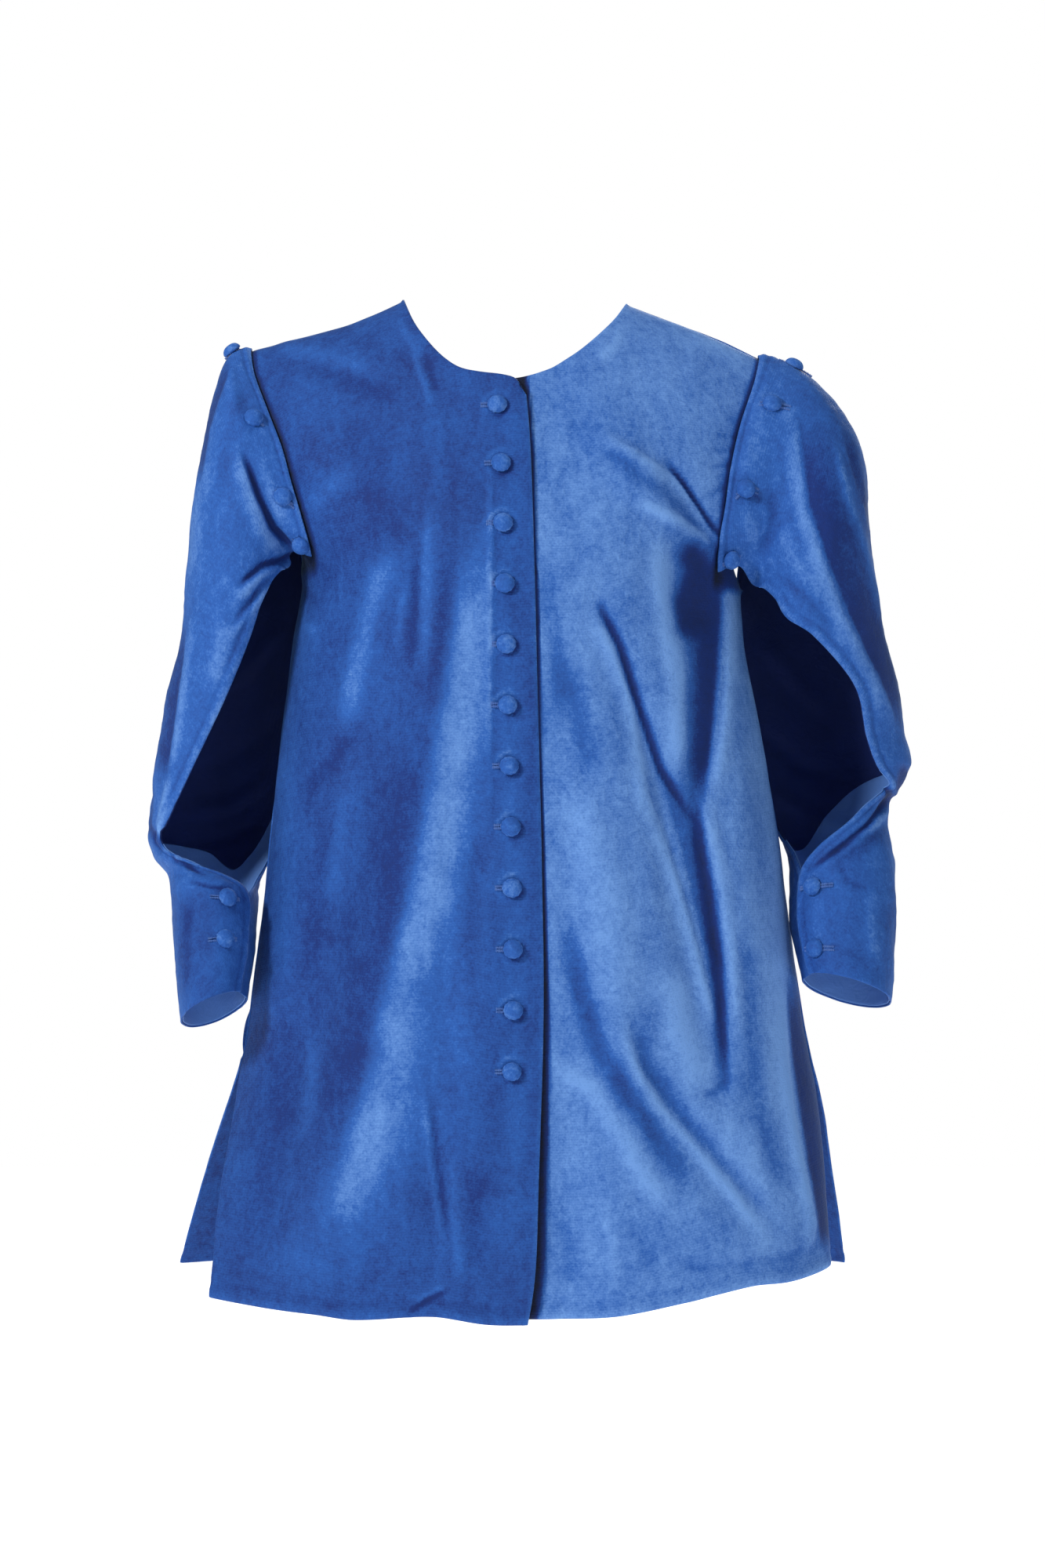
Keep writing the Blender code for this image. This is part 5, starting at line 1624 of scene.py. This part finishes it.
class SURCOAT_OT_body(bpy.types.Operator):
    """Lay the two fronts and the back over the frame"""

    bl_idname = "surcoat.body"
    bl_label = "Body Panels"

    def execute(self, context):
        cloth = context.scene.surcoat_cloth
        # Shaded and lit copies of one velvet: the right front darker, the left front lighter, painted for
        # how the light and sheen fall on them
        deep, light = velvet("velvet_deep", 0.21, 0.6), velvet("velvet_light", 0.71, 0.65)
        back = build_back(cloth, velvet("velvet_behind", 0.40, 0.7))
        hang(back, "velvet_deep_blue", "back")
        for side, material, slot in (
            (RIGHT, deep, "velvet_deep_blue"), (LEFT, light, "velvet_light_blue")
        ):
            piece = build_front(side, cloth, material)
            hang(piece, slot, "front_" + side.name)
        return {"FINISHED"}


class SURCOAT_OT_sleeves(bpy.types.Operator):
    """Set the velvet sleeves, their lining and their cuff facings"""

    bl_idname = "surcoat.sleeves"
    bl_label = "Sleeves"

    def execute(self, context):
        cloth = context.scene.surcoat_cloth
        material = velvet("velvet_sleeve", 0.45, 0.6)
        lining = plain_cloth(
            "sleeve_lining", [0.4 * v for v in cloth.lining_navy], cloth.lining_navy, 420.0, 0.05
        )
        # The facing's blue carries painted light
        facing = plain_cloth(
            "cuff_facing", [0.75 * v for v in cloth.facing_blue], cloth.facing_blue, 420.0, 0.15
        )
        for side in SIDES:
            name = side.name
            sleeve = build_sleeve(side, cloth, material)
            hang(sleeve, "velvet_deep_blue", "sleeve_" + name)
            inner = build_inner(side, "sleeve_lining", cloth, lining)
            hang(inner, "lining_navy", "sleeve_lining_" + name)
            inner = build_inner(side, "cuff_facing", cloth, facing)
            hang(inner, "facing_blue", "cuff_facing_" + name)
        return {"FINISHED"}


class SURCOAT_OT_buttons(bpy.types.Operator):
    """Sew on the covered buttons"""

    bl_idname = "surcoat.buttons"
    bl_label = "Covered Buttons"

    def execute(self, context):
        trim = context.scene.surcoat_trim
        # Lifted lighter than the fronts: a painted highlight for the lit faces of the buttons
        material = velvet("velvet_button", 0.54, 0.8)
        button = covered_button(trim)
        nodes = ["button_front_%02d" % (number + 1) for number in range(FRONT_BUTTONS)]
        piece = sew_buttons("buttons_front", front_button_places(), trim, button, material)
        declare(piece, "velvet_light_blue", *nodes)
        for side in SIDES:
            nodes = ["button_%s_%s" % (side.name, spot.name) for spot in side.buttons]
            piece = sew_buttons(
                "buttons_" + side.name, sleeve_button_places(side), trim, button, material
            )
            declare(piece, "velvet_light_blue", *nodes)
        bpy.data.objects.remove(button)
        return {"FINISHED"}


class SURCOAT_OT_buttonholes(bpy.types.Operator):
    """Stitch the buttonholes under the buttons"""

    bl_idname = "surcoat.buttonholes"
    bl_label = "Buttonholes"

    def execute(self, context):
        trim = context.scene.surcoat_trim
        piece = stitch_runs("buttonholes_front", front_hole_runs(), trim)
        declare(piece, "velvet_light_blue")
        for side in SIDES:
            piece = stitch_runs("buttonholes_" + side.name, sleeve_hole_runs(side), trim)
            declare(piece, "velvet_light_blue")
        return {"FINISHED"}


class SURCOAT_OT_studio(bpy.types.Operator):
    """Set the white floor, the soft lights and the camera"""

    bl_idname = "surcoat.studio"
    bl_label = "Studio"

    def execute(self, context):
        studio = context.scene.surcoat_studio
        build_floor()
        build_lights(studio)
        build_camera(context, studio)
        return {"FINISHED"}


def build_floor():
    turns = ((-1, -1), (1, -1), (1, 1), (-1, 1))
    corners = [(x * FLOOR_HALF, y * FLOOR_HALF, FLOOR_Z) for x, y in turns]
    mesh = bpy.data.meshes.new("studio_floor")
    mesh.from_pydata(corners, [], [(0, 1, 2, 3)])
    floor = add_piece("studio_floor", mesh)
    material, _, shader = new_material("floor_white")
    shader.inputs["Base Color"].default_value = (0.9, 0.9, 0.9, 1.0)
    shader.inputs["Roughness"].default_value = 0.9
    shader.inputs["Emission Color"].default_value = (1.0, 1.0, 1.0, 1.0)
    shader.inputs["Emission Strength"].default_value = 0.75
    mesh.materials.append(material)


# Soft lights: name, place, size across and share of the key light's power
Lamp = namedtuple("Lamp", "name x y z size share")
LAMPS = table(
    Lamp,
    ("key", -1.7, -1.7, 0.9, 0.5, 1.0), ("fill", 1.4, -2.2, -0.2, 1.8, 0.16),
    ("top", 0.2, -0.4, 1.6, 0.9, 0.2), ("behind", 0.8, 2.4, 0.9, 1.2, 0.8),
)


def build_lights(studio):
    world = bpy.data.worlds.new("studio_white")
    bpy.context.scene.world = world
    world.use_nodes = True
    tree = world.node_tree
    shade = tree.nodes["Background"]
    shade.inputs["Color"].default_value = (1.0, 1.0, 1.0, 1.0)
    seen = place(tree, "ShaderNodeLightPath").outputs["Is Camera Ray"]
    extra = times(tree, seen, 1.0 - studio.sky)
    tree.links.new(add(tree, extra, studio.sky), shade.inputs["Strength"])
    aim = Vector((0.0, 0.0, -0.36))
    for lamp in LAMPS:
        light = bpy.data.lights.new(lamp.name, "AREA")
        light.shape = "DISK"
        light.size = lamp.size
        light.energy = studio.key_power * lamp.share
        holder = bpy.data.objects.new(lamp.name, light)
        holder.location = (lamp.x, lamp.y, lamp.z)
        holder.rotation_euler = (aim - holder.location).to_track_quat("-Z", "Y").to_euler()
        bpy.context.scene.collection.objects.link(holder)


def build_camera(context, studio):
    data = bpy.data.cameras.new("camera")
    data.sensor_fit = "VERTICAL"
    data.sensor_width = 36.0
    data.sensor_height = 36.0
    data.lens = studio.lens
    camera = bpy.data.objects.new("camera", data)
    camera.location = (PICTURE_X * MM, -studio.distance, PICTURE_Z * MM)
    camera.rotation_euler = (math.radians(90), 0.0, 0.0)
    context.scene.collection.objects.link(camera)
    context.scene.camera = camera
    context.scene.view_settings.view_transform = "Standard"


class SURCOAT_PT_panel(bpy.types.Panel):
    """The coat's pieces, in the order they are made"""

    bl_idname = "SURCOAT_PT_panel"
    bl_label = "Velvet Surcoat"
    bl_space_type = "VIEW_3D"
    bl_region_type = "UI"
    bl_category = "Surcoat"

    def draw(self, context):
        scene = context.scene
        for settings in (scene.surcoat_cloth, scene.surcoat_trim, scene.surcoat_studio):
            box = self.layout.box()
            for key in settings.bl_rna.properties.keys():
                if key not in ("rna_type", "name"):
                    box.prop(settings, key)
        for operator in OPERATORS:
            self.layout.operator(operator.bl_idname)


SETTINGS = (
    ("surcoat_cloth", SurcoatCloth),
    ("surcoat_trim", SurcoatTrim),
    ("surcoat_studio", SurcoatStudio),
)
OPERATORS = (
    SURCOAT_OT_studio,
    SURCOAT_OT_body,
    SURCOAT_OT_sleeves,
    SURCOAT_OT_buttons,
    SURCOAT_OT_buttonholes,
)


def register():
    for name, group in SETTINGS:
        bpy.utils.register_class(group)
        setattr(bpy.types.Scene, name, bpy.props.PointerProperty(type=group))
    for operator in OPERATORS:
        bpy.utils.register_class(operator)
    bpy.utils.register_class(SURCOAT_PT_panel)


def unregister():
    bpy.utils.unregister_class(SURCOAT_PT_panel)
    for operator in reversed(OPERATORS):
        bpy.utils.unregister_class(operator)
    for name, group in reversed(SETTINGS):
        delattr(bpy.types.Scene, name)
        bpy.utils.unregister_class(group)


def main():
    register()
    bpy.ops.surcoat.studio()
    bpy.ops.surcoat.body()
    bpy.ops.surcoat.sleeves()
    bpy.ops.surcoat.buttons()
    bpy.ops.surcoat.buttonholes()
    bpy.context.view_layer.update()


if __name__ == "__main__":
    main()
